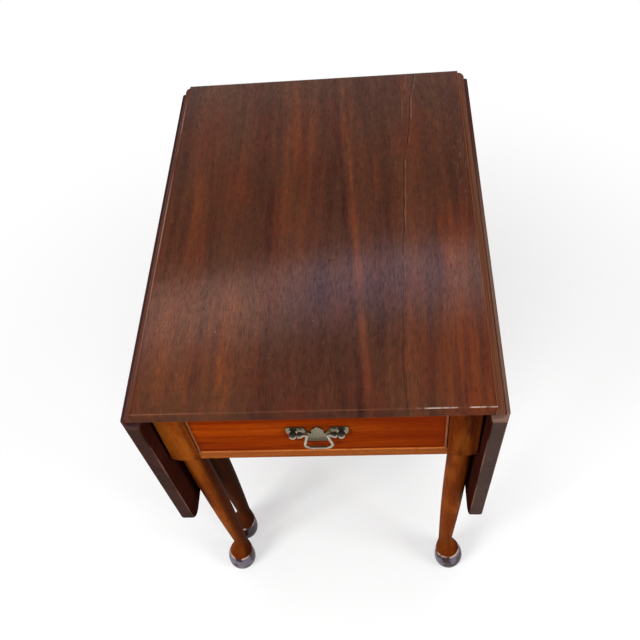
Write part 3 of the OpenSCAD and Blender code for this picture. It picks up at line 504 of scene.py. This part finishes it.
def leaf_finish(side, sign):
    """Wood of a leaf that hangs in by an angle. With (x, z) measured from the hinge line, width runs along
    (-sin, -cos) of the angle and thickness along (cos, -sin)."""
    paint = Paint(side + " leaf")
    x, y, z = paint.place()
    pin_x, _, pin_z = JOINTS[side + "_leaf_hinge"]["pos_m"]
    cosine, sine = np.cos(np.radians(HANG[side])), np.sin(np.radians(HANG[side]))
    out, up = (x - pin_x) * sign, z - pin_z
    width = out * -sine - up * cosine
    thick = out * cosine - up * sine
    place = [width, y, thick]
    colour, roughness, height, smudge = wood(paint, place, (Y, X, Z), LEAF_TONES, rough=0.36)
    outer = thick.rise(OUTER_FACE - 1.2 * MM, OUTER_FACE - 0.2 * MM)
    like_top = wood(paint, place, (Y, X, Z), TOP_TONES, broad=20, narrow=80)[0]
    colour = paint.mix(outer * 0.8, colour, like_top)
    # Painted shade: the inner face, which looks in under the table, is painted a darker red.
    inner = thick.rise(INNER_FACE + 1.6 * MM, INNER_FACE + 0.6 * MM)
    colour = paint.mix(inner * 0.6, colour, "#36110b")
    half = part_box(side + "_leaf")[1].y
    end_face = abs(y).rise(half - 0.6 * MM, half - 0.2 * MM)
    # The end grain's colour differs by side as painted light and shade.
    colour = paint.mix(end_face * 0.4, colour, END_GRAIN_LIGHT_AND_SHADE[side])
    edge = leaf_arris(width, y, thick, half)
    rub = paint.noise(width * 9, y * 9, thick * 30, 3.0)
    lip = paint.mix(y.rise(-100 * MM, 200 * MM), *LIP_LIGHT_AND_SHADE[side])
    colour = paint.mix(width.rise(22 * MM, 16 * MM) * (1 - outer) * 0.75, colour, lip)
    knocks = rub.rise(0.42, 0.60).high(width.rise(30 * MM, 10 * MM) * 0.9)
    worn = (edge - (rub - 0.5) * (3 * MM)).rise(1.9 * MM, 0.5 * MM) * knocks
    colour = paint.mix(worn * 0.55, colour, RUBBED)
    scuff = paint.noise(width * 60 + y * 200, y * 40, thick * 40, 1.0).rise(0.74, 0.80)
    colour = paint.mix(scuff * 0.25, colour, RUBBED)
    gloss = outer * (height * 0.45 + 0.38).high(0.0) + end_face * 0.09
    return polish(paint, colour, roughness - worn * 0.08, height, {"IOR": 1.0, "Coat Roughness": 0.17},
                  **{"Coat Weight": gloss})


leaf_wood = {"left": leaf_finish("left", -1), "right": leaf_finish("right", 1)}
print("leaf finishes", [m.name for m in leaf_wood.values()])

# %% [markdown]
# The legs are a golden brown. Each is painted lighter on its left, with golden patches of painted light, and
# darker on the side away from the key lamp, as painted shade. The gate legs are painted dark all round, as
# painted shade under the leaves. The lower half of each foot has a glossy coat whose colour is a painted
# bluish reflection, broken by dark red patches, and it ends in a pale line, a painted highlight. One finish
# serves both kinds, with the painted light and shade of the sides and the colour of the painted reflection as
# its arguments.

# %% Finish the legs
LEG_TONES = ["#421706", "#662a09", "#833c0e", "#a15416"]
# The gate legs' tones are painted shade: darker, as the leaves hang over them.
GATE_SHADE_TONES = ["#1a0b05", "#2e150a", "#422010", "#563016"]
SEAL_TOP = 42 * MM
UNDER_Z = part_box("top_board")[0].z
BLOCK_LEN, FOOT_R = 146 * MM, 23.5 * MM
BLOCK_END = UNDER_Z - BLOCK_LEN
LEG_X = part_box("front_right_leg")[1].x - FOOT_R


def leg_finish(name, tones, painted_side_light, bluish_reflection):
    """The third argument says how strongly the two sides are painted light and shade, and the fourth is the
    colour of the seal on the foot, a painted bluish reflection."""
    paint = Paint(name)
    place = x, y, z = paint.place()
    colour, roughness, height, smudge = wood(paint, place, (Z, X, Y), tones, pore="#2c1206", rough=0.42,
                                             broad=26, narrow=90)
    from_axis = x - x.math("SIGN") * LEG_X + (smudge - 0.5) * (10 * MM)
    turned = z.rise(BLOCK_END + 20 * MM, BLOCK_END)
    # Painted shade: the side of each leg towards +x, away from the key lamp, is painted dark, half as much on
    # the block.
    away = from_axis.rise(5 * MM, 16 * MM)
    colour = paint.mix(away * (turned * 0.5 + 0.5) * painted_side_light, colour, "#240c05")
    # Painted light: golden patches on the side towards the key lamp.
    glow = paint.noise(x * 34, y * 34, z * 9, 3.0)
    colour = paint.mix(glow.rise(0.46, 0.66) * (1 - away) * painted_side_light * 0.4, colour, "#b5621c")
    z = z + (smudge - 0.5) * (8 * MM)
    colour = paint.mix(z.rise(300 * MM, 60 * MM) * 0.4, colour, "#471c0b")
    seal = z.rise(SEAL_TOP + 0.8 * MM, SEAL_TOP - 0.8 * MM)
    patch = paint.noise(x * 48, y * 48, z * 50, 2.0)
    # Painted reflection: the seal's colour mixes dark red with a bluish reflection in patches.
    sealed = paint.mix(patch.rise(0.44, 0.58), "#2b0f12", bluish_reflection)
    sealed = paint.mix(z.rise(16 * MM, 5 * MM) * 0.7, sealed, "#46302a")
    colour = paint.mix(seal * 0.92, colour, sealed)
    # Painted highlight: a pale line along the top of the seal.
    line = abs(z - SEAL_TOP).rise(2.4 * MM, 0.6 * MM) * patch.rise(0.42, 0.54)
    colour = paint.mix(line * 0.75, colour, "#dcbcac")
    return polish(paint, colour, roughness, height, {"IOR": 1.03, "Coat Roughness": 0.08, "Coat IOR": 1.5},
                  **{"Coat Weight": seal * 0.5})


leg_wood = leg_finish("golden leg wood", LEG_TONES, 0.8, "#686274")
gate_leg_wood = leg_finish("dark gate leg wood", GATE_SHADE_TONES, 0.3, "#3c3848")
print("wood finishes", [m.name for m in bpy.data.materials])

# %% [markdown]
# The top's figure is soft: clouds, streaks that come and go, fine fibres and pores, then a few spindles of
# orange and of dark wood at places of their own. A pale line with a dark one beside it crosses the middle
# at a slant. Noise alone would put the streaks anywhere, so the ones that the eye remembers are listed and
# the rest is left to noise.

# %% Place the figure of the top
# Each spindle: place across, half width, place along, half length, all in mm, and how strong it is.
LIGHT_SPINDLES = [
    (-48, 8, 50, 170, 0.9), (-153, 12, -130, 130, 0.7), (-165, 10, -250, 80, 0.7), (-90, 9, -180, 70, 0.5),
    (-112, 9, 90, 90, 0.4), (84, 7, 70, 60, 0.6), (175, 12, -90, 60, 0.5), (160, 10, -190, 70, 0.5),
    (-130, 90, -220, 150, 0.95), (170, 50, -240, 90, 0.25), (-30, 60, -30, 120, 0.2)]
DARK_SPINDLES = [
    (-66, 7, 10, 130, 0.8), (-182, 10, 0, 90, 0.7), (-22, 9, 70, 90, 0.5), (99, 7, -40, 180, 0.5),
    (161, 8, -60, 80, 0.5), (-120, 8, -220, 80, 0.5), (5, 9, -120, 80, 0.6), (-61, 6, -230, 70, 0.5),
    (185, 40, 40, 110, 0.4), (30, 70, -170, 100, 0.2)]
RED_CLOUDS = [
    (190, 60, -240, 150, 0.9), (190, 34, -40, 80, 0.7), (-30, 60, 120, 160, 0.3), (-150, 40, 60, 120, 0.3)]
LINE_X, LINE_SLANT, LINE_DARK = 51 * MM, -0.060, -11 * MM


def spindles(paint, x, y, places):
    """The strongest of several spindle shapes: each is 1 on its middle and falls to 0 at its half width
    across and its half length along."""
    total = None
    for across, half_width, along, half_length, strength in places:
        dx = (x - across * MM) / (half_width * MM)
        dy = (y - along * MM) / (half_length * MM)
        spindle = (dx * dx + dy * dy).rise(1.0, 0.0) * strength
        total = spindle if total is None else total.high(spindle)
    return total


def top_figure(paint, x, y, z):
    """Colour of the bare wood, and its streaks, fibres, pores and mottle."""
    bands, streaks, fibres, pores = grain(paint, y, x, z, broad=20, narrow=80, wander=0.02)
    sway = (paint.noise(x * 3, y * 6, z, 2.0) - 0.5) * (16 * MM)
    mottle = paint.noise(x * 150, y * 90, z, 3.0, 0.7)
    figured = paint.noise(x * 11, y * 7, z, 2.0).rise(0.35, 0.65)
    swayed = x + sway * 0.6 + (streaks - 0.5) * (10 * MM)
    light = spindles(paint, swayed, y, LIGHT_SPINDLES)
    dark = spindles(paint, swayed, y, DARK_SPINDLES)
    line = x + sway * 0.3 - y * LINE_SLANT - LINE_X
    broken = paint.noise(x * 10, y * 12, 2.0, 2.0)
    light = light.high(abs(line).rise(5 * MM, 1 * MM) * broken.rise(0.3, 0.6) * 0.9)
    dark = dark.high(abs(line - LINE_DARK).rise(6 * MM, 1 * MM) * broken.rise(0.7, 0.45) * 0.8)
    tone = ((bands - 0.5) * 0.50 + (streaks - 0.5) * (figured * 0.42 + 0.16) + (fibres - 0.5) * 0.32
            + (mottle - 0.5) * 0.34 + light * 0.17 - dark * 0.17 + 0.5)
    stops = [(0.15 + 0.7 * i / (len(TOP_TONES) - 1), TOP_TONES[i]) for i in range(len(TOP_TONES))]
    colour = paint.ramp(tone, stops)
    hue = paint.noise(swayed * 26, y * 8, 4.0, 3.0, 0.6)
    colour = paint.mix(hue.rise(0.50, 0.68) * 0.24, colour, "#662612")
    colour = paint.mix(hue.rise(0.50, 0.34) * 0.24, colour, "#483422")
    red = spindles(paint, swayed, y, RED_CLOUDS) * (bands * 0.7 + 0.4)
    reds = paint.mix(streaks.rise(0.4, 0.6), "#5e2414", "#86390f")
    colour = paint.mix(red * (1 - figured * 0.4) * 0.6, colour, reds)
    stripe = abs(line + (mottle - 0.5) * (6 * MM)).rise(9 * MM, 1 * MM)
    stripe = stripe * y.rise(100 * MM, -100 * MM) * broken.rise(0.25, 0.6)
    return paint.mix(stripe * 0.3, colour, "#8a4328"), streaks, fibres, pores, mottle


print("spindles", len(LIGHT_SPINDLES), "light", len(DARK_SPINDLES), "dark", len(RED_CLOUDS), "red")

# %% [markdown]
# A hair crack wanders down the right of the top. Its course is a parabola that a slow noise pushes about,
# and a second noise tears it into lengths. Grey dust has settled beside it and on the whole board, and
# wiping has left faint scratches.

# %% Crack, dust and scratch the top
CRACK_X, CRACK_TURN, CRACK_SLANT, CRACK_BEND = 113 * MM, -155 * MM, 0.023, 0.098
SECOND_CRACK = 12 * MM
SPECKS_PER_METRE = 38


def top_crack(paint, x, y, z, colour):
    """The crack stands where x = place + slant * p + bend * p squared, with p measured along y from its
    turn."""
    past = y - CRACK_TURN
    wander = (paint.noise(x, y * 14, z, 2.0) - 0.5) * (12 * MM)
    course = x + wander - past * CRACK_SLANT - past * past * CRACK_BEND - CRACK_X
    torn = paint.noise(x * 3, y * 22, 3.0, 2.0)
    crack = abs(course).rise(1.3 * MM, 0.2 * MM) * torn.rise(0.32, 0.48)
    second = abs(course + SECOND_CRACK).rise(1.4 * MM, 0.3 * MM) * torn.rise(0.42, 0.52)
    second = second * y.rise(50 * MM, 100 * MM)
    dust_and_shade = abs(course - 1.6 * MM).rise(1.4 * MM, 0.3 * MM) * torn.rise(0.38, 0.52)
    dust_and_shade = dust_and_shade * y.rise(-50 * MM, 0.0)
    colour = paint.mix(crack * (y.rise(-140 * MM, -40 * MM) * 0.4 + 0.3), colour, "#1c100c")
    return paint.mix(dust_and_shade.high(second * 0.5) * 0.25, colour, "#a1806a"), crack


def dust_and_scratches(paint, x, y, pores, colour):
    """Dark wax in the pores, one speck in some of the cells of a cell pattern, and thin slanting
    scratches."""
    colour = paint.mix(pores * 0.34, colour, "#1b0f0c")
    cell_x, cell_y = x * SPECKS_PER_METRE, y * SPECKS_PER_METRE
    cells = paint.vector(cell_x, cell_y, 0.0)
    from_speck = paint.node("ShaderNodeTexVoronoi", {}, {"Vector": cells, "Scale": 1.0})
    speck_size = paint.noise(cell_x, cell_y, 5.0, 0.0) * 0.16 - 0.066
    speck = (speck_size - from_speck).rise(0.0, 0.012)
    colour = paint.mix(speck * 0.5, colour, "#b8937c")
    scratch = paint.noise(x * 8 + y * 30, y * 900 - x * 260, 0.0, 1.0).rise(0.78, 0.84)
    return paint.mix(scratch * 0.12, colour, "#a07a66")


print("crack from the middle line", round(CRACK_X / MM), "mm, specks", SPECKS_PER_METRE, "to a metre")

# %% [markdown]
# Hands and cloths rub the edges. The round of the rule joint is browner than the flat, with a dark red line
# between them and a pale shoulder, a painted highlight that is strongest at the back left. The strip inside
# the joint is painted dark as painted shade. The arris at the two ends is pale too, partly from rubbing and
# partly as a painted highlight, and bright glints are painted on it near the front right corner. All of these
# are distances in from the edge of the board.

# %% Rub the edges of the top
JOINT_BAND, SHOULDER = 12.6 * MM, 7.5 * MM


def joint_rounds(paint, x, y, rubbed, from_side, colour):
    """The two long edges: band, dark red line, shoulder with a painted highlight, painted shade in the hollow
    inside the joint, and scuffs at the right."""
    right = x.rise(-100 * MM, 100 * MM)
    band = from_side.rise(JOINT_BAND + 0.2 * MM, JOINT_BAND - 0.2 * MM)
    reeds = paint.noise(x * 900, y * 4, 0.0, 2.0).rise(0.4, 0.6)
    joint_tone = paint.mix(right, "#5a3629", paint.mix(reeds, "#643a2a", "#80553f"))
    colour = paint.mix(band * (right * 0.3 + 0.3), colour, joint_tone)
    colour = paint.mix(abs(from_side - JOINT_BAND).rise(1 * MM, 0.4 * MM) * 0.6, colour, "#511509")
    # Painted highlight: a pale line on the shoulder of the round, strongest at the back left.
    shoulder = abs(from_side - SHOULDER).rise(1.4 * MM, 0.4 * MM) * rubbed.rise(0.35, 0.6)
    colour = paint.mix(shoulder * (y - x * 1.2).rise(-0.1, 0.25) * 0.5, colour, "#b08e80")
    # Painted shade: the outermost strip, down inside the joint, is painted dark.
    joint_shade = from_side.rise(2.6 * MM, 1.6 * MM)
    colour = paint.mix(joint_shade * 0.7, colour, "#3a0f08")
    scuffed = paint.noise(x * 210, y * 60, 7.0, 2.0).rise(0.56, 0.66)
    scuffed = scuffed * abs(from_side - 22 * MM).rise(14 * MM, 6 * MM)
    scuffed = scuffed * right * y.rise(0.0, 100 * MM) * y.rise(240 * MM, 140 * MM)
    return paint.mix(scuffed * 0.08, colour, "#8d8386")


def end_arrises(paint, x, y, rubbed, from_end, skin, colour):
    """The two short edges: a pale arris, partly rubbed and partly a painted highlight, and painted glints at
    the front right.
    """
    # The pale arris is partly rubbed wear and partly a painted highlight.
    arris = from_end.rise(2.6 * MM, 1 * MM) * (from_end - 0.4 * MM).rise(0.0, 0.4 * MM) * skin
    colour = paint.mix(arris * (rubbed.rise(0.35, 0.6) * 0.35 + 0.1), colour, "#96654e")
    # Painted highlight: bright glints along the arris near the front right, broken by noise.
    glint_breaks = paint.noise(x * 60, 0.0, 0.0, 2.0).rise(0.42, 0.55)
    glints = arris * x.rise(120 * MM, 135 * MM) * y.rise(100 * MM, 0.0) * glint_breaks
    return paint.mix(glints * 0.8, colour, "#dccfc6")


print("round of the joint", round(JOINT_BAND / MM, 1), "mm wide")

# %% [markdown]
# The polish is a clear coat over the colour. It is left out below the flat, and the open pores and fibres
# break it, which is what makes an old polish shimmer instead of mirroring like glass.

# %% Polish the table top


def top_finish():
    """The figure, then the crack, the dust and the rubbed edges over it, and last the broken gloss."""
    paint = Paint("polished table top")
    x, y, z = paint.place()
    low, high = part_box("top_board")
    colour, streaks, fibres, pores, mottle = top_figure(paint, x, y, z)
    colour, crack = top_crack(paint, x, y, z, colour)
    colour = dust_and_scratches(paint, x, y, pores, colour)
    rubbed = paint.noise(x * 6, y * 6, z * 6, 3.0)
    colour = joint_rounds(paint, x, y, rubbed, high.x - abs(x), colour)
    skin = (high.z - z).rise(1.2 * MM, 0.2 * MM)
    colour = end_arrises(paint, x, y, rubbed, (y - low.y).low(high.y - y), skin, colour)
    height = fibres * 0.4 - pores * 0.9 + streaks * 0.35 + mottle * 0.3 - crack * 3.0
    roughness = (rubbed - 0.5) * 0.14 + pores * 0.12 + (fibres - 0.5) * 0.10 + 0.36
    gloss = ((mottle - 0.5) * 0.45 + (fibres - 0.5) * 1.4 - pores * 0.45 + 0.87).high(0.0).low(1.0)
    return paint.finish({"Base Color": colour, "Roughness": roughness, "Coat Weight": skin * gloss,
                         "Normal": paint.bump(height, 0.3 * MM, 0.6)},
                        {"IOR": 1.05, "Coat Roughness": 0.10, "Coat IOR": 1.5})


top_wood = top_finish()
print("top nodes", len(top_wood.node_tree.nodes))

# %% [markdown]
# On the pull, the brass is painted dark on top of the posts and the bail's ends, a painted reflection of the
# dark room above, and stays bright below. Its plate is grey-green. The hinges are the same metal left dull,
# and the screws and pins are steel. One function serves them all: tarnish is a cloudy noise that mixes a
# bright and a dull colour and roughens the metal.

# %% Age the metals
POST_Z = (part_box("handle_posts")[0].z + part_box("handle_posts")[1].z) / 2


def metal(name, bright, dull, rough, spread=0.15, scale=420.0, dust_and_shade=False):
    """A metal with cloudy tarnish: bright and dull are its two colours. With the dark top switched on, it is
    painted dull above the middle of the posts, a painted reflection of the dark room above."""
    paint = Paint(name)
    x, y, z = paint.place()
    cloud = paint.noise(x * scale, y * scale, z * scale, 4.0, 0.6)
    spots = paint.noise(x * scale * 4, y * scale * 4, z * scale * 4, 2.0)
    tarnish = (cloud * 0.7 + spots * 0.3).rise(0.38, 0.62)
    if dust_and_shade:
        # Painted reflection: above the middle of the posts the brass is painted dull, as the dark room
        # mirrored in their tops.
        painted_dark_top = (z + (cloud - 0.5) * (2 * MM)).rise(POST_Z + 1 * MM, POST_Z + 3 * MM)
        tarnish = (tarnish * 0.6).high(painted_dark_top)
    colour = paint.mix(tarnish, bright, dull)
    height = cloud * 0.6 + spots * 0.4
    return paint.finish({"Base Color": colour, "Metallic": 1 - tarnish * 0.25,
                         "Roughness": tarnish * spread + rough, "Normal": paint.bump(height, 0.06 * MM, 0.6)})


pull_brass = metal("rubbed brass pull", "#bcb09c", "#46423a", 0.18, 0.3, dust_and_shade=True)
plate_brass = metal("grey-green brass plate", "#968c70", "#584e3a", 0.28)
hinge_brass = metal("dull hinge brass", "#a08a55", "#6a5a3c", 0.42)
steel = metal("dull steel", "#9a9a9c", "#5c5a58", 0.40)
print("metals", [m.name for m in (pull_brass, plate_brass, hinge_brass, steel)])

# %% [markdown]
# A club leg is turned on a lathe in two settings. The block at its head stays square, with its corners
# turned round at the lower end. The shaft is turned about an axis that leans, and the foot about the first
# axis again, so the ankle sits towards the heel and the toe sweeps out. Here the leg is one skin: a stack
# of rings from the top of the block to the sole, each with a middle, two half widths and a squareness,
# worked out as whole arrays.

# %% Shape the rings of a club leg
BLOCK, BLOCK_ROUND, BLOCK_EASE = 40 * MM, 10 * MM, 0.5 * MM
SHANK_R, SHANK_COLLAR = 16 * MM, (1.2 * MM, 0.4 * MM)
ANKLE_H, ANKLE_R, ANKLE_SHIFT = 70 * MM, 10.7 * MM, 7 * MM
FOOT_H, SOLE_R = 17 * MM, 16.2 * MM
TOE_BEND, HEEL_BEND = 1.25, 1.0
SQUARENESS, CIRCLE = 34.0, 2.0
EDGE_STEP, COLLAR_STEP = 0.3 * MM, 0.4 * MM


def corner_angles(side=24):
    """Angles round a ring, crowded towards the four corners: within each quarter turn about a face, the
    angle is 45 degrees times the sine of an even step from -90 to 90 degrees."""
    step = np.linspace(-1, 1, side, endpoint=False)
    quarter = np.pi / 4 * np.sin(np.pi / 2 * step)
    return np.concatenate([quarter + k * np.pi / 2 for k in range(4)])


def superellipse(angles, half_x, half_y, power):
    """Points of |x/a|^p + |y/b|^p = 1, one row for each ring: a circle where p is 2, nearly square for a
    large p."""
    c, s = np.cos(angles)[None], np.sin(angles)[None]
    k = (np.abs(c) ** power[:, None] + np.abs(s) ** power[:, None]) ** (-1 / power[:, None])
    return half_x[:, None] * k * c, half_y[:, None] * k * s


def foot_reach(s, shift, bend):
    """Distance of the foot's outline from the middle of the block, from the ankle (s = 0) to the widest
    ring (s = 1): the ankle's own distance plus a sine of the way down, raised to a power."""
    start = ANKLE_R + shift * np.sqrt(2)
    return start + (FOOT_R - start) * np.sin(np.pi / 2 * s) ** bend


def leg_rings(lift, top_z, swell, cut=None):
    """Rows of (shift towards the heel, half x, half y, squareness, turned limit, z, shift in x), head to
    sole. With cut, the head above that height keeps only its outer half: (height, width left)."""
    base = UNDER_Z - BLOCK_LEN + lift
    half = BLOCK / 2
    rows = []

    def add(z, radius=None, shift=0.0, half_x=half, limit=1.0, shift_x=0.0):
        """Rings at some heights: round ones where a radius is given, nearly square ones otherwise."""
        z = np.atleast_1d(z).astype(float)
        ones = np.ones(z.shape)
        wide, deep, power = (half_x, half, SQUARENESS) if radius is None else (radius, radius, CIRCLE)
        values = (shift, wide, deep, power, limit, z, shift_x)
        rows.append(np.stack([ones * value for value in values], 1))

    if cut:
        height, width = cut
        outer = dict(half_x=width / 2, shift_x=half - width / 2)
        add([top_z, top_z - EDGE_STEP, height + EDGE_STEP, height], **outer)
        add([height, height - EDGE_STEP])
    else:
        add([top_z, top_z - EDGE_STEP])
    turn = np.linspace(0, np.pi / 2, 9)
    round_z = base + BLOCK_ROUND * (1 - np.sin(turn))
    add(round_z, limit=half - BLOCK_EASE + BLOCK_ROUND * np.cos(turn))
    add([base, base], radius=SHANK_R + np.array(SHANK_COLLAR))
    t = np.linspace(0, 1, 40)
    drop = base - ANKLE_H - lift - COLLAR_STEP
    radius = SHANK_R + (ANKLE_R - SHANK_R) * t + swell * np.sin(np.pi * t)
    add(base - COLLAR_STEP - drop * t, radius=radius, shift=ANKLE_SHIFT * np.sqrt(2) * t)
    s = np.linspace(0, 1, 30)[1:]
    toe, heel = foot_reach(s, -ANKLE_SHIFT, TOE_BEND), foot_reach(s, ANKLE_SHIFT, HEEL_BEND)
    add(ANKLE_H + lift + (FOOT_H - ANKLE_H) * s, radius=(heel + toe) / 2, shift=(heel - toe) / 2)
    a = np.linspace(0, np.pi / 2, 12)[1:]
    add(FOOT_H * (1 - np.sin(a)) + lift, radius=SOLE_R + (FOOT_R - SOLE_R) * np.cos(a))
    return np.concatenate(rows)


print("points round a ring", len(corner_angles()))

# %% [markdown]
# A stack of rings becomes a skin when each point is joined to its neighbours in the ring and in the next
# one. The four fixed legs have a whole block. A gate leg stands 1 mm under the gate's rail, where the inner
# part of its block is cut away, and its shaft is a little fuller. Toes point outwards, so each leg is
# mirrored by the signs of its corner, and a mirrored grid has its faces turned round again.

# %% Turn the six legs
SHANK_SWELL, GATE_SWELL, GATE_GAP = 2 * MM, 3 * MM, 1 * MM
EASE_POWER, CREASE = 40, np.radians(38)


def skin(name, points, flip, material):
    """A mesh from a grid of rings: quads between neighbours and one flat face at each end."""
    rows, columns = points.shape[:2]
    i, k = np.meshgrid(np.arange(rows - 1), np.arange(columns), indexing="ij")
    m = (k + 1) % columns
    quads = np.stack([i * columns + k, (i + 1) * columns + k, (i + 1) * columns + m, i * columns + m], -1)
    quads = quads.reshape(-1, 4)
    caps = [np.arange(columns), (rows - 1) * columns + np.arange(columns)[::-1]]
    if flip:
        quads = quads[:, ::-1]
        caps = [cap[::-1] for cap in caps]
    mesh = bpy.data.meshes.new(name)
    mesh.from_pydata(points.reshape(-1, 3), [], [*quads.tolist(), *[cap.tolist() for cap in caps]])
    mesh.materials.append(material)
    mesh.polygons.foreach_set("use_smooth", np.ones(len(mesh.polygons), bool))
    mesh.set_sharp_from_angle(angle=CREASE)
    piece = bpy.data.objects.new(name, mesh)
    bpy.context.scene.collection.objects.link(piece)
    return piece


def turn_leg(node, body, sx, sy, material, lift=0.0, cut=None):
    """A leg in place of a node: its toe points towards (sx, sy), and its middle is the middle of the foot.
    The block's corners are eased where a ring reaches past its limit."""
    low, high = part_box(node)
    rings = leg_rings(lift, high.z, GATE_SWELL if cut else SHANK_SWELL, cut)
    shift, half_x, half_y, power, limit, z, shift_x = rings.T
    x, y = superellipse(corner_angles(), half_x, half_y, power)
    reach = np.hypot(x, y)
    ease = (1 + (reach / limit[:, None]) ** EASE_POWER) ** (-1 / EASE_POWER)
    x = x * ease + shift_x[:, None] - shift[:, None] / np.sqrt(2)
    y = y * ease - shift[:, None] / np.sqrt(2)
    foot_x = (high.x - FOOT_R) if sx > 0 else (low.x + FOOT_R)
    foot_y = (low.y + high.y) / 2
    points = np.stack([foot_x + sx * x, foot_y + sy * y, np.broadcast_to(z[:, None], x.shape)], -1)
    piece = skin("turned_" + node, points, sx * sy > 0, material)
    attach(piece, body)
    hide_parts(node)
    return piece


for side, sx in (("left", -1), ("right", 1)):
    for end, sy in (("front", -1), ("back", 1)):
        turn_leg(f"{end}_{side}_leg", "frame", sx, sy, leg_wood)
rail_low, rail_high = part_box("right_gate_rail")
cut = (rail_low.z - GATE_GAP, rail_high.x - rail_low.x)
for side, sign in (("left", -1), ("right", 1)):
    node = f"{side}_gate_leg"
    turn_leg(node, f"{side}_gate", sign, sign, gate_leg_wood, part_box(node)[0].z, cut)

# %% [markdown]
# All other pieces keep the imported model's own mesh and only get a finish. Boards whose grain runs a
# different way get a finish of their own, because the grain follows x, y and z. The nodes under the turned
# legs get one too, although the turned legs stand in their place.

# %% Give each node its finish
FINISHES = {
    top_wood: ["top_board"],
    leaf_wood["left"]: ["left_leaf"],
    leaf_wood["right"]: ["right_leaf"],
    leg_wood: ["front_left_leg", "front_right_leg", "back_left_leg", "back_right_leg"],
    gate_leg_wood: ["left_gate_leg", "right_gate_leg"],
    drawer_wood: ["drawer_front"],
    bead_wood: ["drawer_cockbead"],
    rail_wood: ["drawer_rail", "top_rail"],
    side_wood: ["left_side_rail", "right_side_rail", "left_fly_rail", "right_fly_rail", "left_gate_rail",
                "right_gate_rail"],
    back_wood: ["back_rail"],
    inner_long: ["left_runner", "right_runner", "left_kicker", "right_kicker", "drawer_left_side",
                 "drawer_right_side"],
    inner_wide: ["drawer_back", "drawer_bottom", "drawer_stops", "glue_blocks"],
    plate_brass: ["handle_backplate"],
    pull_brass: ["handle_posts", "bail"],
    hinge_brass: ["left_hinge_top_plates", "right_hinge_top_plates", "left_hinge_leaf_plates",
                  "right_hinge_leaf_plates", "hinge_top_screws", "left_leaf_screws", "right_leaf_screws"],
    steel: ["left_hinge_pins", "right_hinge_pins", "left_gate_pin", "right_gate_pin", "top_screws",
            "fly_screws", "drawer_bottom_pins", "handle_nuts"],
}
for material, names in FINISHES.items():
    for name in names:
        NODES[name].data.materials.clear()
        NODES[name].data.materials.append(material)
print("finished", sum(len(names) for names in FINISHES.values()), "of", len(NODES), "nodes")

# %% [markdown]
# The boxes of the imported and of the dressed model are printed side by side. The dressed one is meant not to
# reach past the other, so that what the picture shows is as large as the part.

# %% Measure the dressed model and finish
low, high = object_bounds()
sizes = {"cad": [list(cad_low), list(cad_high)], "visual": [list(low), list(high)]}
for name, (near, far) in sizes.items():
    print(name, "size in mm", [round((b - a) / MM) for a, b in zip(near, far)])
